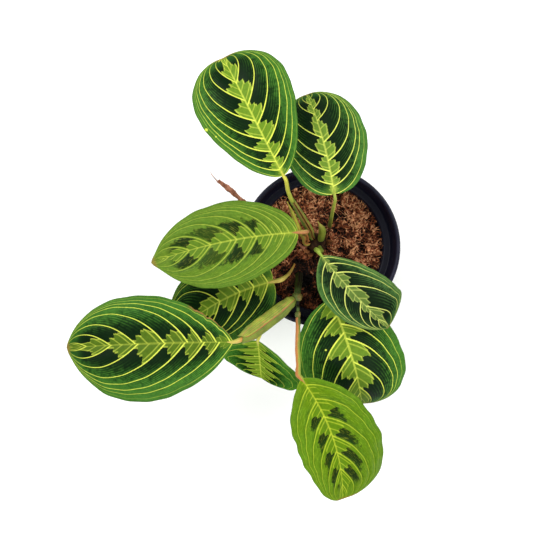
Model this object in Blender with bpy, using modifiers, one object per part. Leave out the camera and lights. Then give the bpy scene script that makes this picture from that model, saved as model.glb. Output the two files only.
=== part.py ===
"""Potted prayer plant (maranta): nine patterned leaves on thin stalks in a black nursery pot.

The origin is the centre of the pot's flat underside, +Z is up and the floor is z = 0.
Lengths in the tables below are millimetres and angles are degrees; MM turns them into metres.
"""
from dataclasses import dataclass
from math import cos, pi, radians, sin, sqrt

import bmesh
import bpy
import numpy as np
from mathutils import Vector

MM = 0.001
OBJECT_NAME = "potted_prayer_plant"
MERGE_DISTANCE = 0.00002
GAP = 0.3 * MM                      # kept between neighbouring pieces

# ---------------------------------------------------------------- driving dimensions
RIM_RADIUS = 60 * MM
POT_HEIGHT = 94 * MM
BASE_RADIUS = 41 * MM
WALL = 1.6 * MM
FLOOR_THICKNESS = 2 * MM
RIM_BAND_HEIGHT = 12 * MM           # the upright band round the mouth
STACKING_STEP = 7 * MM              # how far the band stands out from the body
LIP_RADIUS = 1.4 * MM
POT_STEPS = 44
DRAIN_HOLES = 8
DRAIN_RADIUS = 4 * MM
DRAIN_CIRCLE = 32 * MM

SOIL_LEVEL = 75 * MM
SOIL_LUMP = 1.6 * MM
SOIL_STEPS = 32

LEAF_THICKNESS = 1.1 * MM
LEAF_COLUMNS = 8
LEAF_ROWS = 13
MIDRIB_STEPS = 48

ROUTE_STEPS = 4                     # points of a stalk between two of its route's points
STALK_ROUNDNESS = 2                 # bevel resolution: eight sides


# ---------------------------------------------------------------- leaves
@dataclass
class Leaf:
    """One leaf blade. base is where the stalk meets it; heading turns from +X towards +Y."""
    base: tuple
    heading: float
    length: float
    width: float
    turn: float = 0.0               # how far the midrib swings sideways by the tip
    pitch: float = 10.0             # rise of the midrib at the base
    droop: float = 30.0             # how far the pitch has fallen by the tip
    sag: float = 1.4                # how late along the leaf the fall comes
    roll: float = 0.0
    twist: float = 0.0
    belly: float = 0.5              # where along the midrib the leaf is widest
    skew: float = 0.0               # moves the left half's belly towards the tip
    lean: float = 0.0               # share by which the left half is wider
    heel_round: float = 1.8         # the two exponents of the base's outline
    heel_point: float = 1.5
    tip_point: float = 1.7          # 2 is a round tip, 1 a pointed one
    fold: float = 8.0               # rise of each half from the midrib
    cup: float = 22.0               # how far each half has bent down again at its edge
    lobe: float = 3.0               # how far the base's shoulders reach back past the stalk


LEAVES = {
    "leaf_back_left": Leaf(
        base=(-29, 47, 158), heading=119, length=96, width=69, turn=-4, pitch=22, droop=62,
        sag=1.6, belly=0.65, skew=-0.01, heel_round=1.6, heel_point=1.5, tip_point=2.0,
        fold=10, cup=26),
    "leaf_back_right": Leaf(
        base=(7, 36, 140), heading=100.5, length=78, width=61, turn=9, pitch=18, droop=60,
        sag=1.5, belly=0.53, skew=0.02, lean=-0.02, heel_round=1.9, heel_point=1.9,
        cup=24, lobe=6),
    "leaf_left_upper": Leaf(
        base=(-18.5, 9, 138), heading=-177, length=104, width=60, turn=17, pitch=6, droop=18,
        sag=1.3, roll=4, belly=0.49, skew=0.03, lean=0.07, heel_round=1.65, heel_point=1.75,
        tip_point=1.5, fold=6, cup=16, lobe=5),
    "leaf_left_lower": Leaf(
        base=(-35.5, -26, 106), heading=-167, length=84, width=62, turn=30, pitch=2, droop=26,
        sag=1.3, belly=0.48, heel_round=2.2, heel_point=2.2, cup=16, lobe=4),
    "leaf_far_left": Leaf(
        base=(-64.5, -69, 128), heading=-181, length=122, width=77, turn=6.5, pitch=10,
        droop=34, belly=0.56, lean=0.1, heel_round=2.0, heel_point=1.3, tip_point=1.45,
        lobe=1),
    "leaf_hanging": Leaf(
        base=(-47, -69.5, 112), heading=-85, length=88, width=71, turn=-4, pitch=-52, droop=26,
        sag=1.0, roll=26, belly=0.51, heel_round=1.4, heel_point=1.5, tip_point=1.5,
        fold=10, cup=20),
    "leaf_right_small": Leaf(
        base=(-1, -7, 120), heading=-52, length=75, width=48, turn=10, pitch=8, droop=42,
        sag=1.8, roll=-4, belly=0.62, skew=0.2, lean=0.14, heel_round=2.1, heel_point=1.1,
        tip_point=1.1, cup=24),
    "leaf_right_lower": Leaf(
        base=(7, -39.5, 102), heading=-66.5, length=99, width=80, turn=-12.5, pitch=6,
        droop=64, sag=1.3, roll=4, belly=0.53, skew=0.06, lean=-0.04, heel_round=2.0,
        tip_point=2.3, fold=6, lobe=8),
    "leaf_front": Leaf(
        base=(-15, -97, 112), heading=-53, length=100, width=67, turn=-37, pitch=6, droop=30,
        sag=1.3, roll=6, twist=-35, belly=0.61, skew=0.16, lean=0.17, heel_round=2.1,
        heel_point=1.2, tip_point=2.1, cup=24, lobe=4),
}
LIME_LEAVES = ("leaf_left_upper", "leaf_front")


def half_width(leaf, along, side):
    """Width of one half at a share of the midrib's length; side is +1 left, -1 right."""
    belly = leaf.belly + side * leaf.skew
    towards_base = np.clip((belly - along) / belly, 0, 1)
    towards_tip = np.clip((along - belly) / (1 - belly), 0, 1)
    base_part = np.maximum(0, 1 - towards_base ** leaf.heel_round) ** (1 / leaf.heel_point)
    tip_part = np.maximum(0, 1 - towards_tip ** 2) ** (1 / leaf.tip_point)
    return leaf.width * MM / 2 * (1 + side * leaf.lean) * np.minimum(base_part, tip_part)


def midrib(leaf):
    """Points along the midrib with the leaf's forward, left and up directions at each."""
    along = np.linspace(0, 1, MIDRIB_STEPS + 1)
    heading = np.radians(leaf.heading + leaf.turn * along)
    pitch = np.radians(leaf.pitch - leaf.droop * along ** leaf.sag)
    roll = np.radians(leaf.roll + leaf.twist * along)[:, None]
    forward = np.stack([np.cos(pitch) * np.cos(heading), np.cos(pitch) * np.sin(heading),
                        np.sin(pitch)], axis=1)
    level_left = np.stack([-np.sin(heading), np.cos(heading), 0 * heading], axis=1)
    left = level_left * np.cos(roll) + np.cross(forward, level_left) * np.sin(roll)
    steps = (forward[1:] + forward[:-1]) / 2 * leaf.length * MM / MIDRIB_STEPS
    points = np.vstack([np.zeros(3), np.cumsum(steps, axis=0)]) + np.array(leaf.base) * MM
    return along, points, forward, left, np.cross(forward, left)


def blade_points(leaf, across, along):
    """Surface points for shares across (-1 right edge, +1 left edge) and along the blade."""
    steps, *frame = midrib(leaf)
    centre, forward, left, up = (
        np.stack([np.interp(along, steps, column) for column in axis.T], axis=-1)
        for axis in frame)
    side = np.sign(across)
    width = np.where(across >= 0, half_width(leaf, along, 1), half_width(leaf, along, -1))
    out = np.abs(across) * width
    full = leaf.width * MM / 2
    bend = radians(leaf.cup) / full
    fold = radians(leaf.fold)
    sideways = (np.sin(fold) - np.sin(fold - bend * out)) / bend
    rise = (np.cos(fold - bend * out) - np.cos(fold)) / bend
    back = leaf.lobe * MM * np.abs(across) * width / full * (1 - along) ** 3
    return (centre + left * (side * sideways)[:, None] + up * rise[:, None]
            - forward * back[:, None])


# ---------------------------------------------------------------- stalks, stems and sheaths
@dataclass
class Knob:
    """A rounded swelling that stems grow from."""
    centre: tuple
    radii: tuple


CROWN = Knob(centre=(-2.5, 3, 76), radii=(8.5, 7.5, 10))
SHOOT_NODE = Knob(centre=(-18, -37.5, 104), radii=(4.6, 4.2, 4.4))
FRONT_NODE = Knob(centre=(-17.4, -50.5, 107.5), radii=(2.6, 3.2, 2.6))


def on_knob(knob, azimuth, elevation, reach=0.0):
    """A point just off a knob (plus reach mm), out along its surface normal, in mm."""
    a, e = radians(azimuth), radians(elevation)
    normal = np.array([cos(e) * cos(a), cos(e) * sin(a), sin(e)])
    radii = np.array(knob.radii)
    surface = radii ** 2 * normal / sqrt(((radii * normal) ** 2).sum())
    return tuple(np.array(knob.centre) + surface + normal * (2 * GAP / MM + reach))


def stub(knob, azimuth, elevation, reach=4.0):
    """The first two points of a stem that leaves a knob squarely."""
    return [on_knob(knob, azimuth, elevation), on_knob(knob, azimuth, elevation, reach)]


@dataclass
class Stem:
    """A round stem or stalk: its route in mm and its radius in mm at each route point."""
    route: list
    radii: list
    material: str
    in_soil: bool = False


def to_blade(name, lead=4.0, short=0.7):
    """The last two points of a stalk: it bends level with the midrib and stops at its base."""
    leaf = LEAVES[name]
    a, e = radians(leaf.heading), radians(leaf.pitch)
    forward = np.array([cos(e) * cos(a), cos(e) * sin(a), sin(e)])
    return [tuple(np.array(leaf.base) - forward * back) for back in (lead, short)]


STEMS = {
    "stalk_back_left": Stem(
        [(-22.8, 32.4, 133.5), (-25.6, 37.6, 145), *to_blade("leaf_back_left")],
        [1.5, 1.4, 1.3, 1.2], "stalk_yellow"),
    "stalk_back_right": Stem(
        [(8.2, 15.6, 70), (7.8, 18.6, 88), (7.6, 25, 114), (7.6, 29, 130),
         *to_blade("leaf_back_right")], [1.9, 1.7, 1.4, 1.3, 1.2, 1.1], "stalk_green", True),
    "stalk_left_upper": Stem(
        [(-12.2, 9.2, 112), (-11.6, 9.8, 124), (-12.2, 9.6, 133), *to_blade("leaf_left_upper")],
        [1.7, 1.5, 1.4, 1.3, 1.1], "stalk_yellow"),
    "stalk_left_lower": Stem(
        [(-18.6, -12, 70), (-20, -15, 82), (-24, -20.6, 96),
         *to_blade("leaf_left_lower", 6)], [0.9, 0.9, 1.3, 1.7, 1.4], "stalk_tan", True),
    "stalk_far_left": Stem(
        [(-59.9, -67.8, 127.1), to_blade("leaf_far_left")[1]], [1.8, 1.4], "stalk_tan"),
    "stalk_hanging": Stem(
        [(-45, -63.2, 117.4), (-46.2, -66.4, 116), to_blade("leaf_hanging")[1]],
        [1.6, 1.5, 1.2], "stalk_yellow"),
    "stalk_right_small": Stem(
        stub(CROWN, -62, 48) + [(-1.6, -3, 100), (-4.4, -2.6, 113),
                                *to_blade("leaf_right_small")],
        [1.9, 1.8, 1.8, 1.7, 1.4, 1.1], "stalk_green"),
    "stalk_right_lower": Stem(
        [(3, -16, 70), (3.2, -18, 80), (3.8, -26, 94), *to_blade("leaf_right_lower", 6)],
        [1.7, 1.7, 1.6, 1.5, 1.2], "stalk_green", True),
    "stalk_front": Stem(
        stub(FRONT_NODE, -90, 12, 3) + [(-17.6, -64, 111.6), (-18, -76, 114), (-17.2, -88, 114),
                                        to_blade("leaf_front")[1]],
        [1.8, 1.8, 1.9, 1.9, 1.8, 1.4], "stalk_tan"),
    "shoot_stem": Stem(
        [(-15.4, -20.4, 70), (-15.8, -23.4, 82)] + stub(SHOOT_NODE, 82, -46, 5)[::-1],
        [3.2, 3.0, 2.6, 2.4], "stem_green", True),
    "front_stem": Stem(
        stub(SHOOT_NODE, -86, 8, 2.4) + stub(FRONT_NODE, 90, -4, 1.6)[::-1],
        [1.1, 1.1, 1.1, 1.1], "stem_green"),
    "dry_twig": Stem(
        stub(CROWN, 198, 24, 4) + [(-25, 11, 95), (-42, 22, 107), (-58.5, 33, 116),
                                  (-68.5, 41.5, 121), (-75, 46.5, 124)],
        [1.1, 1.1, 1.2, 1.4, 1.6, 1.7, 0.8], "dry_twig"),
    "leaf_spear": Stem(
        stub(CROWN, 156, 26, 3) + [(-16.4, 13, 101), (-21.6, 22.6, 121), (-26, 30.8, 137)],
        [1.3, 1.4, 1.6, 1.3, 0.5], "sheath_green"),
    "bract": Stem(
        stub(CROWN, 52, 58, 3) + [(1.4, 12.4, 93), (-2.4, 18.4, 102)],
        [1.7, 2.1, 2.2, 0.6], "sheath_green"),
}


@dataclass
class Sheath:
    """A flattened leaf base folded round a stalk: route, half widths and half depth in mm."""
    route: list
    half_widths: list
    depth: float
    material: str = "sheath_green"


SHEATHS = {
    "sheath_back_left": Sheath(
        stub(CROWN, 122, 50) + [(-8.6, 12.6, 97), (-15, 21.4, 115), (-22.4, 31.8, 132.6)],
        [1.8, 2.3, 2.9, 2.8, 1.6], 0.6),
    "sheath_left_upper": Sheath(
        stub(CROWN, 178, 46) + [(-11.6, 6.4, 98), (-13.4, 9, 111.2)],
        [1.9, 2.4, 2.6, 1.8], 0.7, "sheath_tan"),
    "shoot_sheath": Sheath(
        stub(SHOOT_NODE, -140, 36) + [(-31, -48, 113), (-42, -56, 119), (-51, -62.4, 123.4),
                                      (-59.2, -67.4, 126.8)],
        [2.6, 4.4, 5.8, 6.0, 5.6, 2.6], 0.62),
}

# ---------------------------------------------------------------- materials
#                colour (linear RGB), roughness, metallic
MATERIALS = {
    "pot_plastic": ((0.012, 0.012, 0.018), 0.45, 0.0),
    "coir_soil": ((0.11, 0.045, 0.022), 0.95, 0.0),
    "leaf_dark": ((0.09, 0.24, 0.03), 0.45, 0.0),
    "leaf_lime": ((0.15, 0.34, 0.03), 0.45, 0.0),
    "stalk_yellow": ((0.55, 0.52, 0.08), 0.5, 0.0),
    "stalk_green": ((0.25, 0.33, 0.05), 0.5, 0.0),
    "stalk_tan": ((0.45, 0.30, 0.10), 0.6, 0.0),
    "stem_green": ((0.06, 0.14, 0.03), 0.5, 0.0),
    "sheath_green": ((0.14, 0.22, 0.04), 0.55, 0.0),
    "sheath_tan": ((0.35, 0.17, 0.06), 0.65, 0.0),
    "crown_brown": ((0.16, 0.12, 0.04), 0.8, 0.0),
    "dry_twig": ((0.42, 0.20, 0.12), 0.8, 0.0),
}


# ---------------------------------------------------------------- helpers
def clear_scene():
    for obj in list(bpy.data.objects):
        bpy.data.objects.remove(obj, do_unlink=True)


def new_collection(name):
    collection = bpy.data.collections.new(name)
    bpy.context.scene.collection.children.link(collection)
    return collection


def make_materials():
    made = {}
    for name, (colour, roughness, metallic) in MATERIALS.items():
        material = bpy.data.materials.new(name)
        material.use_nodes = True
        shader = material.node_tree.nodes["Principled BSDF"]
        shader.inputs["Base Color"].default_value = (*colour, 1)
        shader.inputs["Roughness"].default_value = roughness
        shader.inputs["Metallic"].default_value = metallic
        made[name] = material
    return made


def add_object(name, data, collection, material=None):
    obj = bpy.data.objects.new(name, data)
    collection.objects.link(obj)
    if material:
        obj.data.materials.append(material)
    return obj


def as_cutter(obj):
    obj.hide_render = True
    obj.display_type = "WIRE"
    return obj


def cut(obj, cutter):
    boolean = obj.modifiers.new(f"cut_{cutter.name}", "BOOLEAN")
    boolean.operation = "DIFFERENCE"
    boolean.solver = "EXACT"
    boolean.object = cutter


def as_mesh(obj, collection):
    """Replace an object by the mesh it evaluates to, with loose caps welded on."""
    graph = bpy.context.evaluated_depsgraph_get()
    mesh = bpy.data.meshes.new_from_object(obj.evaluated_get(graph))
    shell = bmesh.new()
    shell.from_mesh(mesh)
    bmesh.ops.remove_doubles(shell, verts=shell.verts, dist=MERGE_DISTANCE)
    shell.to_mesh(mesh)
    shell.free()
    name, place = obj.name, obj.matrix_world.copy()
    bpy.data.objects.remove(obj, do_unlink=True)
    solid = add_object(name, mesh, collection)
    solid.matrix_world = place
    return solid


def turned(name, profile, steps, collection, material):
    """A profile of (radius, height) points, spun once round Z."""
    mesh = bpy.data.meshes.new(name)
    line = bmesh.new()
    points = [line.verts.new((radius, 0, height)) for radius, height in profile]
    for start, end in zip(points, points[1:]):
        line.edges.new((start, end))
    line.to_mesh(mesh)
    line.free()
    obj = add_object(name, mesh, collection, material)
    screw = obj.modifiers.new("turn", "SCREW")
    screw.steps = screw.render_steps = steps
    screw.use_merge_vertices = True
    screw.merge_threshold = MERGE_DISTANCE
    return obj


def smooth_route(points, values):
    """A Catmull-Rom curve through the route's points, with its values eased along it."""
    route = [Vector(point) * MM for point in points]
    route = [2 * route[0] - route[1]] + route + [2 * route[-1] - route[-2]]
    values = [values[0]] + list(values) + [values[-1]]
    places, sizes = [], []
    for i in range(1, len(route) - 2):
        p0, p1, p2, p3 = route[i - 1:i + 3]
        for step in range(ROUTE_STEPS):
            u = step / ROUTE_STEPS
            places.append(0.5 * (2 * p1 + (p2 - p0) * u + (2 * p0 - 5 * p1 + 4 * p2 - p3) * u ** 2
                                 + (3 * p1 - 3 * p2 + p3 - p0) * u ** 3))
            sizes.append(values[i] * (1 - u) + values[i + 1] * u)
    return places + [route[-2]], sizes + [values[-2]]


def route_curve(name, points, values, collection, material=None):
    places, sizes = smooth_route(points, values)
    data = bpy.data.curves.new(name, "CURVE")
    data.dimensions = "3D"
    data.twist_mode = "Z_UP"
    data.use_fill_caps = True
    spline = data.splines.new("POLY")
    spline.points.add(len(places) - 1)
    for point, place, size in zip(spline.points, places, sizes):
        point.co = (*place, 1)
        point.radius = size
    return add_object(name, data, collection, material)


def round_stem(name, points, radii, collection, material=None):
    obj = route_curve(name, points, radii, collection, material)
    obj.data.bevel_depth = MM
    obj.data.bevel_resolution = STALK_ROUNDNESS
    return obj


# ---------------------------------------------------------------- pieces
def make_pot(parts, cutters, material):
    body_top = POT_HEIGHT - RIM_BAND_HEIGHT
    body_radius = RIM_RADIUS - STACKING_STEP - WALL
    inner_top, inner_base = body_radius - WALL, BASE_RADIUS - WALL
    lip_centre = RIM_RADIUS - LIP_RADIUS
    lip = [(lip_centre + LIP_RADIUS * cos(angle), POT_HEIGHT - LIP_RADIUS * (1 - sin(angle)))
           for angle in np.linspace(pi, -pi / 6, 7)]
    profile = [
        (0, FLOOR_THICKNESS), (inner_base - 2 * MM, FLOOR_THICKNESS),
        (inner_base, FLOOR_THICKNESS + 2 * MM), (inner_top, body_top - WALL),
        (inner_top + WALL, body_top), (lip_centre - LIP_RADIUS - 2.5 * MM, body_top + 0.5 * MM),
        (lip_centre - LIP_RADIUS - 1.5 * MM, body_top + 2 * MM),
        *lip, (RIM_RADIUS - 1.4 * MM, body_top - WALL), (body_radius + 1.5 * MM, body_top - WALL),
        (body_radius, body_top - 2 * WALL), (BASE_RADIUS, 3 * MM),
        (BASE_RADIUS - 1.5 * MM, 0), (0, 0)]
    pot = turned("nursery_pot", profile, POT_STEPS, parts, material)
    for i in range(DRAIN_HOLES):
        angle = 2 * pi * (i + 0.5) / DRAIN_HOLES
        bpy.ops.mesh.primitive_cylinder_add(
            vertices=12, radius=DRAIN_RADIUS, depth=4 * FLOOR_THICKNESS,
            location=(DRAIN_CIRCLE * cos(angle), DRAIN_CIRCLE * sin(angle), FLOOR_THICKNESS / 2))
        cutter = bpy.context.object
        cutter.name = f"drain_cutter_{i + 1}"
        for collection in list(cutter.users_collection):
            collection.objects.unlink(cutter)
        cutters.objects.link(cutter)
        cut(pot, as_cutter(cutter))


def make_soil(parts, cutters, material):
    inner_base = BASE_RADIUS - WALL
    inner_top = RIM_RADIUS - STACKING_STEP - 2 * WALL
    body_top = POT_HEIGHT - RIM_BAND_HEIGHT - WALL
    wall_bottom = FLOOR_THICKNESS + 2 * MM
    share = (SOIL_LEVEL - 2 * MM - wall_bottom) / (body_top - wall_bottom)
    edge = inner_base + (inner_top - inner_base) * share - 1.5 * GAP
    rings = [(edge * k / 6, SOIL_LEVEL) for k in range(6)]
    profile = [*rings, (edge - 2 * MM, SOIL_LEVEL - 0.5 * MM), (edge, SOIL_LEVEL - 2 * MM),
               (inner_base - 1.5 * GAP, wall_bottom + GAP),
               (inner_base - 2 * MM - GAP, FLOOR_THICKNESS + GAP), (0, FLOOR_THICKNESS + GAP)]
    soil = as_mesh(turned("potting_soil", profile, SOIL_STEPS, parts, None), parts)
    soil.data.materials.append(material)
    for vertex in soil.data.vertices:
        x, y, z = vertex.co
        inside = 1 - (x * x + y * y) / edge ** 2
        if z > SOIL_LEVEL - MM and inside > 0:
            lumps = sin(190 * x + 1.3) * cos(230 * y) + 0.6 * sin(310 * (x + y)) * cos(270 * (x - y))
            vertex.co.z += SOIL_LUMP * (lumps + 1) * min(1, 4 * inside) / 1.6
    for name, stem in STEMS.items():
        if stem.in_soil:
            foot = tuple(np.array(stem.route[0]) - (0, 0, GAP / MM))
            hole = round_stem(f"hole_{name}", [foot, *stem.route[1:]],
                              [radius + 1.2 * GAP / MM for radius in stem.radii], cutters)
            cut(soil, as_cutter(as_mesh(hole, cutters)))
    cut(soil, as_cutter(knob("hole_crown", CROWN, cutters, grow=GAP)))


def knob(name, shape, collection, material=None, grow=0.0):
    data = bpy.data.meshes.new(name)
    ball = bmesh.new()
    bmesh.ops.create_uvsphere(ball, u_segments=14, v_segments=9, radius=1)
    bmesh.ops.scale(ball, verts=ball.verts, vec=[r * MM + grow for r in shape.radii])
    bmesh.ops.translate(ball, verts=ball.verts, vec=Vector(shape.centre) * MM)
    ball.to_mesh(data)
    ball.free()
    return add_object(name, data, collection, material)


def make_leaf(name, leaf, collection, material):
    """A grid bent to the blade's surface, its end rows drawn together, then given thickness."""
    data = bpy.data.meshes.new(name)
    sheet = bmesh.new()
    bmesh.ops.create_grid(sheet, x_segments=LEAF_COLUMNS, y_segments=LEAF_ROWS, size=1)
    flat = np.array([vertex.co for vertex in sheet.verts])
    along = (1 - np.cos((flat[:, 1] + 1) / 2 * pi)) / 2
    for vertex, place in zip(sheet.verts, blade_points(leaf, -flat[:, 0], along)):
        vertex.co = place
    bmesh.ops.remove_doubles(sheet, verts=sheet.verts, dist=MERGE_DISTANCE)
    sheet.to_mesh(data)
    sheet.free()
    obj = add_object(name, data, collection, material)
    obj.data.shade_smooth()
    solidify = obj.modifiers.new("thickness", "SOLIDIFY")
    solidify.thickness = LEAF_THICKNESS
    solidify.offset = -1


def ellipse_profile(name, depth, collection):
    """A closed section one unit wide from the middle, and depth units high."""
    data = bpy.data.curves.new(name, "CURVE")
    data.dimensions = "2D"
    data.fill_mode = "NONE"
    spline = data.splines.new("POLY")
    sides = 12
    spline.points.add(sides - 1)
    for i, point in enumerate(spline.points):
        angle = 2 * pi * i / sides
        point.co = (cos(angle) * MM, -depth * sin(angle) * MM, 0, 1)
    spline.use_cyclic_u = True
    return as_cutter(add_object(name, data, collection))


def make_sheath(name, sheath, parts, cutters, material):
    obj = route_curve(name, sheath.route, sheath.half_widths, parts, material)
    obj.data.bevel_mode = "OBJECT"
    obj.data.bevel_object = ellipse_profile(f"section_{name}", sheath.depth, cutters)


def main():
    clear_scene()
    parts = new_collection(OBJECT_NAME)
    guides = new_collection("cutters")
    materials = make_materials()
    make_pot(parts, guides, materials["pot_plastic"])
    make_soil(parts, guides, materials["coir_soil"])
    knob("crown", CROWN, parts, materials["crown_brown"])
    knob("shoot_node", SHOOT_NODE, parts, materials["sheath_tan"])
    knob("front_node", FRONT_NODE, parts, materials["stalk_green"])
    for name, leaf in LEAVES.items():
        finish = "leaf_lime" if name in LIME_LEAVES else "leaf_dark"
        make_leaf(name, leaf, parts, materials[finish])
    for name, stem in STEMS.items():
        round_stem(name, stem.route, stem.radii, parts, materials[stem.material])
    for name, sheath in SHEATHS.items():
        make_sheath(name, sheath, parts, guides, materials[sheath.material])


main()
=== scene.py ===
"""Potted prayer plant: patterned leaves, stalks, a side shoot, coir and a black nursery pot."""
from dataclasses import dataclass
from math import atan2, cos, exp, pi, radians, sin, sqrt, tau

import bmesh
import bpy
import numpy as np
from bpy.props import FloatProperty, FloatVectorProperty, IntProperty, PointerProperty
from mathutils import Matrix, Vector, noise


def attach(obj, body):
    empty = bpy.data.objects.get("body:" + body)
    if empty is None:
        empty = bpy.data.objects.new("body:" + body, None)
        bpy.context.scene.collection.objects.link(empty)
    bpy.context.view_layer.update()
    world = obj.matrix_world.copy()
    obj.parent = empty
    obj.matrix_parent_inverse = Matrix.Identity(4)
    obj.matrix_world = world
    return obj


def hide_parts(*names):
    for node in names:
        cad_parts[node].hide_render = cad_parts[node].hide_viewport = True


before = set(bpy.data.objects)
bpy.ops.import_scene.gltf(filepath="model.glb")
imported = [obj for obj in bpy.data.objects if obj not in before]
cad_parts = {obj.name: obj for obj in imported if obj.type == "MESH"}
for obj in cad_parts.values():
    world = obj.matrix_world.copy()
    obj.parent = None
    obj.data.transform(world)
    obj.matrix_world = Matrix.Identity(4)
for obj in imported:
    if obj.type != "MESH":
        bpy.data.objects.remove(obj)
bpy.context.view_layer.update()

bl_info = {
    "name": "Potted Prayer Plant",
    "version": (1, 0, 0),
    "blender": (4, 5, 0),
    "location": "View3D > Sidebar > Prayer Plant",
    "description": "Builds a prayer plant with patterned leaves in a nursery pot",
    "category": "Add Mesh",
}

BODY = "root"
MM = 0.001
SEED = 7
MERGE_DISTANCE = 0.02 * MM

# ---------------------------------------------------------------- the plant's own shape
@dataclass
class Leaf:
    """A blade's shape in millimetres and degrees, as the solid model has it, and its looks."""
    base: tuple
    heading: float
    length: float
    width: float
    turn: float = 0.0               # how far the midrib swings sideways by the tip
    pitch: float = 10.0             # rise of the midrib at the base
    droop: float = 30.0             # how far the pitch has fallen by the tip
    sag: float = 1.4                # how late along the leaf the fall comes
    roll: float = 0.0
    twist: float = 0.0
    belly: float = 0.5              # where along the midrib the leaf is widest
    skew: float = 0.0               # moves the left half's belly towards the tip
    lean: float = 0.0               # share by which the left half is wider
    heel_round: float = 1.8         # the two exponents of the base's outline
    heel_point: float = 1.5
    tip_point: float = 1.7          # 2 is a round tip, 1 a pointed one
    fold: float = 8.0               # rise of each half from the midrib
    cup: float = 22.0               # how far each half has bent down again at its edge
    lobe: float = 3.0               # how far the base's shoulders reach back past the stalk
    left: tuple = (0.05, 0.12, 0.2, 0.3, 0.44, 0.6, 0.75)   # starts of the left side veins
    right: tuple = (0.06, 0.15, 0.26, 0.41, 0.56, 0.74)     # starts of the right side veins
    fan: tuple = (2.2, 2.2)         # how steeply the side veins of each half leave the midrib
    ease: tuple = (0.85, 0.85)      # how much less steeply they do so near the tip
    fishbone: float = 0.3           # how far the lime lobes reach towards the edge
    slant: float = 0.2              # how far the lobes lean along the side veins
    waves: float = 5.0              # ripples along the margin
    nib: float = 0.0                # length of the small point at the tip
    ragged: float = 1.0             # how uneven its outline is, against the other blades
    gloss: float = 0.05             # how shiny the upper face is
    richness: float = 1.0           # how saturated its greens are
    kind: str = "dark"
    shade: float = 1.0              # how light this leaf's green is; on leaf_left_lower it holds painted shade from the leaves above, on leaf_hanging painted light through the blade
    lobes: float = 1.0              # how light its fishbone figure is
    glow: float = 0.3               # how yellow the blade is where the stalk joins it
    reach: float = 0.8              # how far out the near-black patches run
    bold: float = 1.0               # how wide its side veins are
    vivid: float = 0.95             # how strongly they stand out
    gap: float = 0.06               # free share of a band between veins before its patch
    pleats: float = 1.0             # how deeply the blade is folded between its veins
    spots: tuple = ()               # yellow spots: share across, share along, radius in mm
    scorch: tuple = (0, 0.0, 0.01)  # side, place along and spread of a dried margin


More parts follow.
